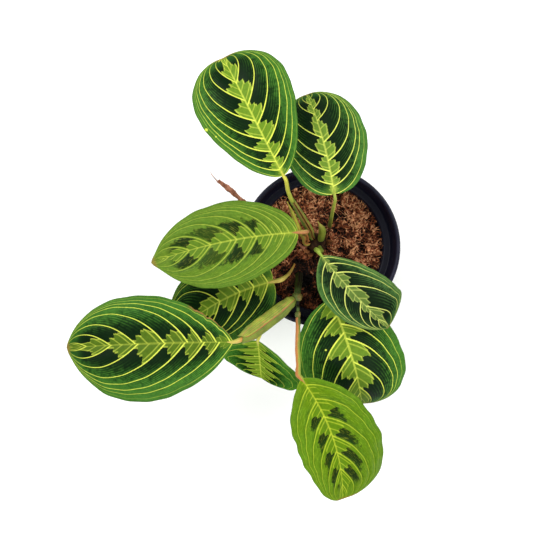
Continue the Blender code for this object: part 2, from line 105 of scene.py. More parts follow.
LEAVES = {
    "leaf_back_left": Leaf(
        base=(-29, 47, 158), heading=119, length=96, width=69, turn=-4, pitch=22, droop=62,
        sag=1.6, belly=0.65, skew=-0.01, heel_round=1.6, heel_point=1.5, tip_point=2.0,
        fold=10, cup=26, shade=1.06, lobes=1.1, glow=0.6, reach=0.9,
        bold=1.05, spots=((0.965, 0.54, 1.2), (0.3, 0.985, 2.2), (0.9, 0.47, 0.7))),
    "leaf_back_right": Leaf(
        base=(7, 36, 140), heading=100.5, length=78, width=61, turn=9, pitch=18, droop=60,
        sag=1.5, belly=0.53, skew=0.02, lean=-0.02, heel_round=1.9, heel_point=1.9,
        cup=24, lobe=6, left=(0.09, 0.21, 0.35, 0.52, 0.75, 0.86),
        right=(0.07, 0.16, 0.305, 0.475, 0.685, 0.806), ease=(0.5, 0.2), fishbone=0.2,
        shade=1.05, richness=0.96, lobes=1.1, glow=0.5, reach=1.0),
    "leaf_left_upper": Leaf(
        base=(-18.5, 9, 138), heading=-177, length=104, width=60, turn=17, pitch=6, droop=18,
        sag=1.3, roll=4, belly=0.49, skew=0.03, lean=0.07, heel_round=1.65, heel_point=1.75,
        tip_point=1.5, fold=6, cup=16, lobe=5, left=(0.09, 0.17, 0.28, 0.42, 0.6, 0.75),
        right=(0.06, 0.11, 0.18, 0.29, 0.42, 0.6, 0.75), kind="lime", shade=0.87,
        nib=3.0, richness=1.0, vivid=0.4, reach=0.52, pleats=1.3),
    # leaf_left_lower lies under other leaves: its low shade is painted shade
    "leaf_left_lower": Leaf(
        base=(-35.5, -26, 106), heading=-167, length=84, width=62, turn=30, pitch=2, droop=26,
        sag=1.3, belly=0.48, heel_round=2.2, heel_point=2.2, cup=16, lobe=4,
        left=(0.05, 0.18, 0.31, 0.51, 0.72), right=(0.05, 0.18, 0.31, 0.51, 0.72),
        fan=(1.6, 3.0), ease=(0.5, 0.3), shade=0.85, reach=1.15),
    "leaf_far_left": Leaf(
        base=(-64.5, -69, 128), heading=-181, length=122, width=77, turn=6.5, pitch=10,
        droop=34, belly=0.56, lean=0.1, heel_round=2.0, heel_point=1.3, tip_point=1.45,
        lobe=1, left=(0.08, 0.168, 0.281, 0.394, 0.556, 0.717),
        right=(0.1, 0.184, 0.265, 0.402, 0.572, 0.725), fan=(1.8, 2.2), slant=0.1,
        nib=1.5, scorch=(-1, 0.13, 0.1), lobes=0.68, glow=0.0, bold=1.1,
        shade=0.95),
    # leaf_hanging: its high shade is painted light shining through the blade, in place of translucency
    "leaf_hanging": Leaf(
        base=(-47, -69.5, 112), heading=-85, length=88, width=71, turn=-4, pitch=-52, droop=26,
        sag=1.0, roll=26, belly=0.51, heel_round=1.4, heel_point=1.5, tip_point=1.5,
        fold=10, cup=20, left=(0.02, 0.13, 0.27, 0.45, 0.6, 0.75),
        right=(0.02, 0.13, 0.27, 0.45, 0.6, 0.75), fan=(3.5, 3.5), fishbone=0.6, shade=1.2, gloss=0.0,
        vivid=0.5),
    "leaf_right_small": Leaf(
        base=(-1, -7, 120), heading=-52, length=75, width=48, turn=10, pitch=8, droop=42,
        sag=1.8, roll=-4, belly=0.62, skew=0.2, lean=0.14, heel_round=2.1, heel_point=1.1,
        tip_point=1.1, cup=24, left=(0.03, 0.11, 0.22, 0.39, 0.66, 0.85),
        right=(0.08, 0.2, 0.385, 0.59, 0.72, 0.85), ease=(0.95, 0.4), fishbone=0.26,
        shade=0.88, richness=0.88, lobes=0.85, reach=1.0),
    "leaf_right_lower": Leaf(
        base=(7, -39.5, 102), heading=-66.5, length=99, width=80, turn=-12.5, pitch=6,
        droop=64, sag=1.3, roll=4, belly=0.53, skew=0.06, lean=-0.04, heel_round=2.0,
        tip_point=2.3, fold=6, lobe=8, left=(0.05, 0.2, 0.315, 0.515, 0.76),
        right=(0.13, 0.27, 0.45, 0.655, 0.83), fishbone=0.38, slant=0.35,
        shade=1.07, bold=1.4, reach=0.95, glow=0.5, spots=((-0.42, 0.36, 0.9),)),
    "leaf_front": Leaf(
        base=(-15, -97, 112), heading=-53, length=100, width=67, turn=-37, pitch=6, droop=30,
        sag=1.3, roll=6, twist=-35, belly=0.61, skew=0.16, lean=0.17, heel_round=2.1,
        heel_point=1.2, tip_point=2.1, cup=24, lobe=4,
        left=(0.06, 0.18, 0.33, 0.48, 0.61, 0.74), right=(0.08, 0.2, 0.32, 0.46, 0.6, 0.74),
        kind="lime", shade=0.95, richness=1.06,
        vivid=0.45, reach=0.48, gap=0.25, pleats=2.2, waves=7.0, ragged=2.4),
}
MIDRIB_STEPS = 64
OUTLINE = 0.012                     # how uneven a blade's outline is
VEIN_HUG = 1.5                      # how closely they follow the margin
VEIN_STEPS = 400
ROW_CROWDING = 0.6                  # how far a blade's rows crowd towards its two ends


def half_width(leaf, along, side):
    """Width of one half at a share of the midrib's length; side is +1 left, -1 right."""
    belly = leaf.belly + side * leaf.skew
    towards_base = np.clip((belly - along) / belly, 0, 1)
    towards_tip = np.clip((along - belly) / (1 - belly), 0, 1)
    base_part = np.maximum(0, 1 - towards_base ** leaf.heel_round) ** (1 / leaf.heel_point)
    tip_part = np.maximum(0, 1 - towards_tip ** 2) ** (1 / leaf.tip_point)
    return leaf.width * MM / 2 * (1 + side * leaf.lean) * np.minimum(base_part, tip_part)


def midrib(leaf):
    """Points along the midrib with the leaf's forward, left and up directions at each."""
    along = np.linspace(0, 1, MIDRIB_STEPS + 1)
    heading = np.radians(leaf.heading + leaf.turn * along)
    pitch = np.radians(leaf.pitch - leaf.droop * along ** leaf.sag)
    roll = np.radians(leaf.roll + leaf.twist * along)[:, None]
    forward = np.stack([np.cos(pitch) * np.cos(heading), np.cos(pitch) * np.sin(heading),
                        np.sin(pitch)], axis=1)
    level_left = np.stack([-np.sin(heading), np.cos(heading), 0 * heading], axis=1)
    left = level_left * np.cos(roll) + np.cross(forward, level_left) * np.sin(roll)
    steps = (forward[1:] + forward[:-1]) / 2 * leaf.length * MM / MIDRIB_STEPS
    points = np.vstack([np.zeros(3), np.cumsum(steps, axis=0)]) + np.array(leaf.base) * MM
    return along, points, forward, left, np.cross(forward, left)


def blade_points(leaf, across, along, lift):
    """Surface points for shares across (+1 left edge) and along, lifted along the normal."""
    steps, *axes = midrib(leaf)
    centre, forward, left, up = (
        np.stack([np.interp(along, steps, column) for column in axis.T], axis=-1)
        for axis in axes)
    side = np.sign(across)
    width = np.where(across >= 0, half_width(leaf, along, 1), half_width(leaf, along, -1))
    scorched, place, spread = leaf.scorch
    width = width * (1 + OUTLINE * leaf.ragged * (0.6 * np.sin(19 * along + 3 * side + leaf.length)
                                    + 0.4 * np.sin(47 * along + side + leaf.width)))
    gnawed = (side == scorched) * np.exp(-((along - place) / spread) ** 4)
    width = width * (1 - gnawed * (0.06 + 0.03 * np.sin(90 * along) + 0.02 * np.sin(171 * along)))
    out = np.abs(across) * width
    full = leaf.width * MM / 2
    bend = radians(leaf.cup) / full
    fold = radians(leaf.fold)
    sideways = (np.sin(fold) - np.sin(fold - bend * out)) / bend
    rise = (np.cos(fold - bend * out) - np.cos(fold)) / bend + lift
    back = leaf.lobe * MM * np.abs(across) * width / full * (1 - along) ** 3
    back = back - leaf.nib * MM * np.clip((along - 0.93) / 0.07, 0, 1) ** 4
    return (centre + left * (side * sideways)[..., None] + up * rise[..., None]
            - forward * back[..., None])


def vein_starts(leaf, side, share, along):
    """Where on the midrib the vein starts that passes each point of rows of one half."""
    half = 0 if side > 0 else 1
    starts = np.linspace(0, 1, 120)
    width = np.maximum(half_width(leaf, np.linspace(0, 1, VEIN_STEPS + 1), side),
                       0.04 * leaf.width * MM)
    reached = np.zeros_like(starts)
    history = [reached]
    for step in range(VEIN_STEPS):
        slope = (leaf.fan[half] * (1 - leaf.ease[half] * starts)
                 * leaf.length * MM / width[step + 1])
        grown = np.clip(step + 1 - starts * VEIN_STEPS, 0, 1) / VEIN_STEPS
        reached = np.minimum(reached + grown * slope * (1 - reached) ** VEIN_HUG, 0.999)
        history.append(reached)
    found = np.zeros((len(along), len(share)))
    for row, place in enumerate(along):
        low = min(int(place * VEIN_STEPS), VEIN_STEPS - 1)
        line = history[low] + (history[low + 1] - history[low]) * (place * VEIN_STEPS - low)
        begun = starts <= place
        reach = np.append(line[begun], 0)[::-1]
        found[row] = np.interp(share, reach, np.append(starts[begun], place)[::-1])
        found[row] -= 0.1 * np.clip((share - line[0]) / max(1 - line[0], 0.001), 0, 1)
    return found


def vein_count(leaf, side, start):
    """Counts the bold side veins up to a start on the midrib; whole on each of them."""
    begins = np.array(leaf.left if side > 0 else leaf.right)
    first, last = begins[1] - begins[0], begins[-1] - begins[-2]
    begins = np.concatenate([[begins[0] - 3 * first], begins, [begins[-1] + 3 * last]])
    counts = np.concatenate([[-3], np.arange(len(begins) - 2), [len(begins)]])
    return np.interp(start, begins, counts)


@dataclass
class Knob:
    """A rounded swelling that stems grow from: its centre and radii in millimetres."""
    centre: tuple
    radii: tuple


CROWN = Knob(centre=(-2.5, 3, 76), radii=(8.5, 7.5, 10))
SHOOT_NODE = Knob(centre=(-18, -37.5, 104), radii=(4.6, 4.2, 4.4))
FRONT_NODE = Knob(centre=(-17.4, -50.5, 107.5), radii=(2.6, 3.2, 2.6))


def stub(knob, azimuth, elevation, reach=4.0):
    """Two points in millimetres: just inside a knob's surface, and out along its normal."""
    a, e = radians(azimuth), radians(elevation)
    normal = Vector((cos(e) * cos(a), cos(e) * sin(a), sin(e)))
    radii = Vector(knob.radii)
    surface = radii * radii * normal / (radii * normal).length
    middle = Vector(knob.centre)
    return [tuple(middle + surface * 0.9), tuple(middle + surface + normal * reach)]


def to_blade(name, lead=4.0):
    """A stalk's last points: it bends level with the midrib and runs on under the blade."""
    leaf = LEAVES[name]
    a, e = radians(leaf.heading), radians(leaf.pitch)
    forward = Vector((cos(e) * cos(a), cos(e) * sin(a), sin(e)))
    base = Vector(leaf.base)
    return [tuple(base - forward * lead), tuple(base - Vector((0, 0, 0.5))),
            tuple(base + forward * 6 - Vector((0, 0, 1.1)))]


@dataclass
class Stem:
    """A round stem or stalk: route and radii in millimetres and the finish it takes."""
    route: list
    radii: list
    finish: str


STEMS = {
    "stalk_back_left": Stem(
        [(-22.0, 31.4, 130.5), (-22.8, 32.4, 133.5), (-25.6, 37.6, 145),
         *to_blade("leaf_back_left")], [1.4, 1.5, 1.45, 1.35, 1.2, 0.5], "stalk_yellow"),
    "stalk_back_right": Stem(
        [(8.2, 15.6, 71), (7.8, 18.6, 88), (7.6, 25, 114), (7.6, 29, 130),
         *to_blade("leaf_back_right")], [1.7, 1.5, 1.25, 1.15, 1.15, 1.0, 0.5], "stalk_green"),
    "stalk_left_upper": Stem(
        [(-12.2, 9.0, 109), (-12.2, 9.2, 112), (-11.6, 9.8, 124), (-12.2, 9.6, 133),
         *to_blade("leaf_left_upper")], [1.4, 1.4, 1.4, 1.5, 1.5, 1.3, 0.5], "stalk_brown"),
    "stalk_left_lower": Stem(
        [(-18.6, -12, 71), (-20, -15, 82), (-24, -20.6, 96), *to_blade("leaf_left_lower", 6)],
        [0.8, 0.8, 1.2, 1.8, 1.5, 0.6], "stalk_tan"),
    "stalk_far_left": Stem(
        [(-57.9, -66.9, 126.3), (-59.9, -67.8, 127.1), *to_blade("leaf_far_left", 2)[1:]],
        [1.7, 1.8, 1.4, 0.6], "stalk_tan"),
    "stalk_hanging": Stem(
        [(-44.4, -62.2, 117.6), (-45, -63.2, 117.4), (-46.2, -66.4, 116),
         *to_blade("leaf_hanging")[1:]], [1.5, 1.6, 1.5, 1.2, 0.5], "stalk_yellow"),
    "stalk_right_small": Stem(
        stub(CROWN, -62, 48) + [(-1.6, -3, 100), (-4.4, -2.6, 113),
                                *to_blade("leaf_right_small")],
        [1.6, 1.5, 1.4, 1.7, 1.6, 1.1, 0.5], "stalk_lime"),
    "stalk_right_lower": Stem(
        [(3, -16, 71), (3.2, -18, 80), (3.8, -26, 94), *to_blade("leaf_right_lower", 6)],
        [1.7, 1.7, 1.6, 1.5, 1.2, 0.5], "stalk_green"),
    "stalk_front": Stem(
        stub(FRONT_NODE, -90, 12, 3) + [(-17.6, -64, 111.6), (-18, -76, 114), (-17.4, -86, 114.2),
                                        *to_blade("leaf_front")],
        [1.8, 1.75, 1.8, 1.8, 1.75, 2.1, 1.6, 0.6], "stalk_rust"),
    "shoot_stem": Stem(
        [(-15.4, -20.4, 71), (-15.8, -23.4, 82)] + stub(SHOOT_NODE, 82, -46, 5)[::-1],
        [3.2, 3.0, 2.6, 2.5], "stem_green"),
    "front_stem": Stem(
        stub(SHOOT_NODE, -86, 8, 2.4) + stub(FRONT_NODE, 90, -4, 1.6)[::-1],
        [1.5, 1.25, 1.15, 1.2], "stem_green"),
}


@dataclass
class Wrap:
    """A leaf base rolled round a stalk: its route, radii and flatness, and its two edges."""
    route: list
    radii: list
    depth: float
    finish: str
    start: float            # where the outer edge lies, in degrees from the top
    stop: float             # where the inner edge lies, in degrees from the top
    spiral: float = 0.0     # how much the radius shrinks in one turn
    tongue: float = 0.0     # how far its rounded ends draw back, as a share of its length


WRAPS = {
    "sheath_back_left": Wrap(
        stub(CROWN, 122, 50) + [(-8.6, 12.6, 97), (-15, 21.4, 115), (-22.4, 31.8, 132.6)],
        [1.9, 2.4, 2.9, 2.8, 1.9], 0.7, "sheath_green", 12, 350, tongue=0.03),
    "sheath_left_upper": Wrap(
        stub(CROWN, 178, 46) + [(-11.6, 6.4, 98), (-13.0, 9, 112)],
        [2.0, 2.5, 2.7, 2.0], 0.7, "sheath_tan", 30, 350, tongue=0.12),
    "shoot_sheath": Wrap(
        stub(SHOOT_NODE, -140, 36) + [(-31, -48, 113), (-42, -56, 119), (-51, -62.4, 123.4),
                                      (-59.6, -67.6, 126.9)],
        [2.8, 4.4, 5.7, 5.9, 5.7, 3.4], 0.62, "shoot_sheath", -12, 400, 0.15, 0.1),
    "leaf_spear": Wrap(
        stub(CROWN, 156, 26, 3) + [(-16.4, 13, 101), (-21.6, 22.6, 121), (-26, 30.8, 137)],
        [1.3, 1.5, 1.8, 1.4, 0.15], 0.8, "spear_green", -30, 380, 0.2),
    "bract": Wrap(
        stub(CROWN, 52, 58, 3) + [(1.4, 12.4, 93), (-2.4, 18.4, 102)],
        [1.9, 2.7, 2.7, 0.3], 0.9, "bract_green", -135, 150, 0.1),
}
KNOB_FIT = 0.8                      # a knob's flesh next to the solid model's
TWIG_ROUTE = stub(CROWN, 198, 24, 4) + [(-25, 11, 95), (-42, 22, 107), (-58.5, 33, 116),
                                       (-68.5, 41.5, 121), (-75, 46.5, 124)]
TWIG_RADII = [1.1, 1.1, 1.2, 1.4, 1.7, 1.9, 0.9]

LONG_FIBRES = (                     # routes over the soil in millimetres: x, y and lift
    (((27.2, 1.5, 1.0), (30.6, -4.3, 2.2), (35.7, -5.7, 2.4), (43.3, -4.3, 1.6)), 0.36),
    (((8.5, -2.2, 1.0), (12.5, -4.6, 2.0), (17.5, -5.6, 1.6)), 0.28),
    (((38.5, 8.5, 1.0), (42.0, 12.0, 2.4), (45.0, 15.5, 1.4)), 0.26),
    (((17.8, 32.5, 1.0), (21.5, 27.0, 2.2), (22.0, 21.0, 1.0)), 0.24),
)
SOIL_LEVEL = 75 * MM                # the soil and the drainage holes as in the solid model
SOIL_RADIUS = 49.0 * MM
DRAIN_HOLES = 8
DRAIN_RADIUS = 4 * MM
DRAIN_CIRCLE = 32 * MM
PLANT_SHADE_PLACE = (-10 * MM, -26 * MM)   # middle of the painted shade of the plant's leaves on the coir
# how wide the painted shade of the leaves on the coir spreads, and how dark it is at its middle
PLANT_SHADE_SPREAD = 29 * MM
PLANT_SHADE_DARKNESS = 0.98
LONG_FIBRE_TINT = 2.5               # how pale the long fibres are


# ---------------------------------------------------------------- settings
def colour(name, red, green, blue, note, share=0.8):
    """A colour as it looks under the soft boxes, 0 to 255, and its share as a pigment."""
    linear = [share * ((c / 255 + 0.055) / 1.055) ** 2.4 for c in (red, green, blue)]
    return FloatVectorProperty(name=name, description=note, subtype="COLOR", size=3,
                               min=0, max=1, default=linear)


def length(name, millimetres, note):
    return FloatProperty(name=name, description=note, default=millimetres * MM, unit="LENGTH")


class PlantLeafSettings(bpy.types.PropertyGroup):
    columns: IntProperty(name="Columns", description="Faces across a blade", default=64)
    rows: IntProperty(name="Rows", description="Faces along a blade", default=96)
    thickness: length("Thickness", 0.45, "Thickness of the blade")
    midrib: length("Midrib", 1.3, "Thickness of the blade at its midrib, near the stalk")
    quilting: length("Quilting", 0.45, "How far the blade bulges between side veins")
    ripple: length("Ripple", 0.7, "Height of the waves along the margin")
    vein_width: length("Vein width", 0.62, "Width of a bold side vein near the midrib")
    vein: colour("Veins", 222, 232, 88, "Side veins and midrib")
    lime: colour("Lime", 96, 128, 32, "The fishbone figure along the midrib")
    field: colour("Field", 34, 82, 24, "Green between the veins")
    dark: colour("Patches", 4, 24, 7, "Patches beside the fishbone figure")
    margin: colour("Margin", 82, 136, 46, "Streaks and the outer part of a blade")
    lobe: colour("Young lobes", 92, 126, 34, "The fishbone figure of the young leaves")
    young: colour("Young green", 97, 128, 34, "Field of the young leaves")
    back: colour("Underside", 128, 150, 100, "Underside of the blades")
    dry: colour("Dry", 150, 110, 60, "Dried margins and tips")


class PlantStalkSettings(bpy.types.PropertyGroup):
    sides: IntProperty(name="Sides", description="Faces round a stalk", default=20)
    steps: IntProperty(name="Steps", description="Rings between two route points", default=8)
    wall: length("Wall", 0.4, "Thickness of a sheath")
    yellow: colour("Yellow", 216, 208, 74, "Stalks of the older leaves")
    green: colour("Green", 150, 166, 60, "Fresh stalks")
    lime: colour("Lime", 158, 190, 62, "The swollen ends of young stalks")
    olive: colour("Olive", 84, 104, 40, "Shaded lower ends of stalks")
    tan: colour("Tan", 206, 190, 92, "Stalks that are drying")
    rust: colour("Rust", 196, 118, 62, "Reddish flank of a stalk")
    stem: colour("Stem", 70, 96, 32, "Branch stems")
    sheath: colour("Sheath", 158, 168, 58, "Leaf sheaths")
    papery: colour("Papery edge", 178, 116, 66, "Edges of sheaths")
    twig: colour("Twig", 198, 134, 106, "The dry twig")
    bark: colour("Bark", 112, 66, 48, "Cracks of dry parts")
    # also the painted shade at the foot of the branch stems
    dark_bark_and_shade: colour("Dark bark", 22, 13, 8, "Cracks of the crown")
    crown: colour("Crown", 66, 42, 22, "The crown at the soil")


class PlantPotSettings(bpy.types.PropertyGroup):
    steps: IntProperty(name="Steps", description="Faces round the pot", default=144)
    plastic: colour("Plastic", 13, 14, 31, "Moulded plastic")
    roughness: FloatProperty(name="Roughness", description="Roughness of the plastic",
                             default=0.34, min=0, max=1)


class PlantSoilSettings(bpy.types.PropertyGroup):
    fibres: IntProperty(name="Fibres", description="Loose coir fibres", default=2600)
    strands: IntProperty(name="Strands", description="Longer pale fibres on top", default=90)
    crumbs: IntProperty(name="Crumbs", description="Loose crumbs of bark", default=1900)
    lump: length("Lumps", 8.0, "Height of the lumps of the soil's surface")
    deep: colour("Deep", 12, 6, 5, "Shaded soil")
    coir: colour("Coir", 172, 94, 56, "Most of the fibres")
    pale: colour("Pale fibre", 252, 184, 132, "The lightest fibres")


class PlantStageSettings(bpy.types.PropertyGroup):
    camera_height: length("Camera height", 794, "Height of the camera above the floor")
    lens: FloatProperty(name="Lens", description="Focal length in millimetres", default=62.95)
    floor: colour("Floor", 254, 254, 254, "The pale floor", 0.95)
    key: FloatProperty(name="Key light", description="Power of the main soft box", default=30,
                       unit="POWER")
    fill: FloatProperty(name="Fill light", description="Strength of the surroundings",
                        default=0.5)


# ---------------------------------------------------------------- helpers
def settings(context, group):
    return getattr(context.scene, group)


def finish_piece(obj, slot, *nodes):
    """Ride on the plant's body and stand for its nodes; the slot is not used."""
    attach(obj, BODY)
    if nodes:
        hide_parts(*nodes)
    return obj


def add_object(name, shell, *materials, smooth=True):
    """A mesh object at the origin from a bmesh, which is freed."""
    mesh = bpy.data.meshes.new(name)
    shell.to_mesh(mesh)
    shell.free()
    obj = bpy.data.objects.new(name, mesh)
    bpy.context.scene.collection.objects.link(obj)
    for material in materials:
        mesh.materials.append(material)
    if smooth:
        mesh.shade_smooth()
    return obj


def smooth_route(points, values, steps):
    """A Catmull-Rom curve in metres through points in millimetres, with values eased along."""
    route = [Vector(point) * MM for point in points]
    route = [2 * route[0] - route[1]] + route + [2 * route[-1] - route[-2]]
    places, sizes = [], []
    for i in range(1, len(route) - 2):
        p0, p1, p2, p3 = route[i - 1:i + 3]
        for step in range(steps):
            u = step / steps
            places.append(0.5 * (2 * p1 + (p2 - p0) * u + (2 * p0 - 5 * p1 + 4 * p2 - p3) * u ** 2
                                 + (3 * p1 - 3 * p2 + p3 - p0) * u ** 3))
            ease = u * u * (3 - 2 * u)
            sizes.append((values[i - 1] * (1 - ease) + values[i] * ease) * MM)
    return places + [route[-2]], sizes + [values[-1] * MM]


def ring_frames(places, top=(0.02, 0.05, 1)):
    """A matrix at each place: Z along the route, X kept as close as possible to the top."""
    frames = []
    for i, place in enumerate(places):
        z = (places[min(i + 1, len(places) - 1)] - places[max(i - 1, 0)]).normalized()
        x = (Vector(top) - z * Vector(top).dot(z)).normalized()
        frames.append(Matrix.Translation(place)
                      @ Matrix((x, z.cross(x), z)).transposed().to_4x4())
    return frames


def extend(shell, ring, matrix):
    """Extrude a closed ring of vertices and move the new one by a matrix."""
    inside = set(ring)
    edges = [edge for vertex in ring for edge in vertex.link_edges
             if edge.other_vert(vertex) in inside]
    made = bmesh.ops.extrude_edge_only(shell, edges=list(dict.fromkeys(edges)))["geom"]
    fresh = {part for part in made if isinstance(part, bmesh.types.BMVert)}
    bmesh.ops.transform(shell, matrix=matrix, verts=list(fresh))
    return [next(edge.other_vert(vertex) for edge in vertex.link_edges
                 if edge.other_vert(vertex) in fresh) for vertex in ring]


def tube(shell, points, radii, sides, steps):
    """A closed round stalk along a route, with rounded ends and its section stored."""
    places, sizes = smooth_route(points, radii, steps)
    first, last = (places[0] - places[1]).normalized(), (places[-1] - places[-2]).normalized()
    places = [places[0] + first * sizes[0] * 0.6, places[0] + first * sizes[0] * 0.4, *places,
              places[-1] + last * sizes[-1] * 0.4, places[-1] + last * sizes[-1] * 0.6]
    sizes = [sizes[0] * 0.35, sizes[0] * 0.75, *sizes, sizes[-1] * 0.75, sizes[-1] * 0.35]
    layer = shell.verts.layers.float_vector.get("section")
    ring = bmesh.ops.create_circle(shell, segments=sides, radius=1)["verts"]
    before, rings = Matrix(), []
    for frame_here, size in zip(ring_frames(places), sizes):
        here = frame_here @ Matrix.Diagonal((size, size, size, 1))
        if rings:
            ring = extend(shell, ring, here @ before.inverted())
        else:
            bmesh.ops.transform(shell, matrix=here, verts=ring)
        for k, vertex in enumerate(ring):
            vertex[layer] = (cos(tau * k / sides), sin(tau * k / sides),
                             len(rings) / (len(places) - 1))
        rings.append(ring)
        before = here
    for end in (rings[0], rings[-1]):
        bmesh.ops.contextual_create(shell, geom=end)
    return rings


def new_shell():
    shell = bmesh.new()
    shell.verts.layers.float_vector.new("section")
    return shell


def roughen(shell, amount, scale, seed=0):
    """Move vertices along their normals by smooth noise."""
    shell.normal_update()
    for vertex in shell.verts:
        vertex.co += vertex.normal * amount * noise.noise(vertex.co * scale + Vector((seed,) * 3))


def close_up(shell):
    """Merge what meets and point all the faces outwards."""
    bmesh.ops.remove_doubles(shell, verts=shell.verts, dist=MERGE_DISTANCE)
    bmesh.ops.recalc_face_normals(shell, faces=shell.faces)


def rolled_strip(wrap, steps, columns=44):
    """A grid rolled round a route from its outer edge to its inner one, ends rounded off."""
    places, sizes = smooth_route(wrap.route, wrap.radii, steps)
    frames = ring_frames(places)
    rows = len(places) - 1
    shell = new_shell()
    layer = shell.verts.layers.float_vector.get("section")
    bmesh.ops.create_grid(shell, x_segments=columns, y_segments=rows, size=1)
    for vertex in shell.verts:
        share = (vertex.co.x + 1) / 2
        along = (vertex.co.y + 1) / 2
        angle = radians(wrap.start + (wrap.stop - wrap.start) * share)
        place = along * (1 - wrap.tongue * along ** 6 * (1 - abs(sin(tau * share)) ** 0.7)) * rows
        low = min(int(place), rows - 1)
        part = place - low
        size = (sizes[low] * (1 - part) + sizes[low + 1] * part)
        size *= 1 + wrap.spiral * (0.5 - share)
        crinkle = 0.04 * noise.noise(Vector((share * 3, along * 8, wrap.start)))
        spot = Vector((cos(angle) * wrap.depth, sin(angle), 0)) * size * (1 + crinkle)
        vertex[layer] = (share, angle, along)
        vertex.co = (frames[low] @ spot).lerp(frames[low + 1] @ spot, part)
    shell.faces.ensure_lookup_table()
    shell.normal_update()
    face = min(shell.faces, key=lambda f: (f.calc_center_median() - places[rows // 2]).length)
    middle = min(places, key=lambda place: (place - face.calc_center_median()).length)
    if face.normal.dot(face.calc_center_median() - middle) < 0:
        bmesh.ops.reverse_faces(shell, faces=shell.faces)
    return shell


# ---------------------------------------------------------------- finishes
class Graph:
    """Short names for the nodes of one material."""

    def __init__(self, name):
        self.material = bpy.data.materials.new(name)
        self.material.use_nodes = True
        self.tree = self.material.node_tree
        self.shader = self.tree.nodes["Principled BSDF"]

    def node(self, kind, **values):
        node = self.tree.nodes.new(f"ShaderNode{kind}")
        for key, value in values.items():
            if hasattr(node, key):
                setattr(node, key, value)
            else:
                self.feed(node.inputs[key.replace("_", " ").title()], value)
        return node

    def feed(self, socket, value):
        if isinstance(value, bpy.types.NodeSocket):
            self.tree.links.new(value, socket)
        elif hasattr(value, "__len__") and len(value) == 3 and socket.type == "RGBA":
            socket.default_value = (*value, 1)
        else:
            socket.default_value = value

    def math(self, operation, *values, clamp=False):
        node = self.tree.nodes.new("ShaderNodeMath")
        node.operation, node.use_clamp = operation, clamp
        for socket, value in zip(node.inputs, values):
            self.feed(socket, value)
        return node.outputs[0]

    def add(self, *values):
        return self.math("ADD", *values)

    def times(self, first, *rest):
        for value in rest:
            first = self.math("MULTIPLY", first, value)
        return first

    def step(self, value, low, high, start=0.0, end=1.0):
        """A smooth rise from start to end while value goes from low to high."""
        node = self.tree.nodes.new("ShaderNodeMapRange")
        node.interpolation_type = "SMOOTHSTEP"
        for socket, number in zip(node.inputs, (value, low, high, start, end)):
            self.feed(socket, number)
        return node.outputs[0]

    def mix(self, share, below, above):
        node = self.tree.nodes.new("ShaderNodeMix")
        node.data_type = "RGBA"
        self.feed(node.inputs[0], share)
        self.feed(node.inputs[6], below)
        self.feed(node.inputs[7], above)
        return node.outputs[2]

    def uv(self, name):
        node = self.tree.nodes.new("ShaderNodeUVMap")
        node.uv_map = name
        split = self.tree.nodes.new("ShaderNodeSeparateXYZ")
        self.feed(split.inputs[0], node.outputs[0])
        return split.outputs[0], split.outputs[1]

    def attribute(self, name):
        node = self.tree.nodes.new("ShaderNodeAttribute")
        node.attribute_name = name
        split = self.tree.nodes.new("ShaderNodeSeparateXYZ")
        self.feed(split.inputs[0], node.outputs["Vector"])
        return split.outputs

    def place(self, stretch=(1, 1, 1)):
        node = self.tree.nodes.new("ShaderNodeTexCoord")
        turned = self.tree.nodes.new("ShaderNodeMapping")
        turned.inputs["Scale"].default_value = stretch
        self.feed(turned.inputs["Vector"], node.outputs["Object"])
        return turned.outputs[0]

    def speckle(self, scale, detail=3.0, rough=0.6, vector=None):
        node = self.tree.nodes.new("ShaderNodeTexNoise")
        node.inputs["Scale"].default_value = scale
        node.inputs["Detail"].default_value = detail
        node.inputs["Roughness"].default_value = rough
        self.feed(node.inputs["Vector"], vector or self.place())
        return node.outputs[0]

    def join(self, *values):
        node = self.tree.nodes.new("ShaderNodeCombineXYZ")
        for socket, value in zip(node.inputs, values):
            self.feed(socket, value)
        return node.outputs[0]

    def chance(self, *values):
        """A fixed random number for each set of values."""
        node = self.tree.nodes.new("ShaderNodeTexWhiteNoise")
        self.feed(node.inputs["Vector"], self.join(*values))
        return node.outputs[0]

    def bump(self, height, strength, distance):
        node = self.tree.nodes.new("ShaderNodeBump")
        node.inputs["Strength"].default_value = strength
        node.inputs["Distance"].default_value = distance
        self.feed(node.inputs["Height"], height)
        self.feed(self.shader.inputs["Normal"], node.outputs[0])

    def done(self, colour, roughness, specular=0.5):
        self.feed(self.shader.inputs["Base Color"], colour)
        self.feed(self.shader.inputs["Roughness"], roughness)
        self.shader.inputs["Specular IOR Level"].default_value = specular
        return self.material


def vein_masks(graph, width):
    """The leaf's own coordinates, and how much each point lies on a bold vein."""
    across, along = graph.uv("blade")
    count, spacing = graph.uv("veins")
    across = graph.math("MULTIPLY_ADD", across, 2.0, -1.0)
    out = graph.math("ABSOLUTE", across)
    within = graph.math("FRACT", count)
    nearest = graph.math("SUBTRACT", 0.5, graph.math("ABSOLUTE",
                                                     graph.math("SUBTRACT", within, 0.5)))
    taper = graph.times(graph.step(out, 0.15, 0.95, 1.2, 0.35), graph.step(along, 0.3, 1.0, 1.0, 0.6))
    beside = graph.math("SUBTRACT", graph.times(nearest, spacing), graph.times(taper, width / MM / 2))
    vein = graph.times(graph.step(beside, -0.1, 0.2, 1.0, 0.0), graph.step(out, 0.8, 0.98, 1.0, 0.1),
                       graph.step(along, 0.85, 1.0, 1.0, 0.3))
    return across, out, along, count, within, vein


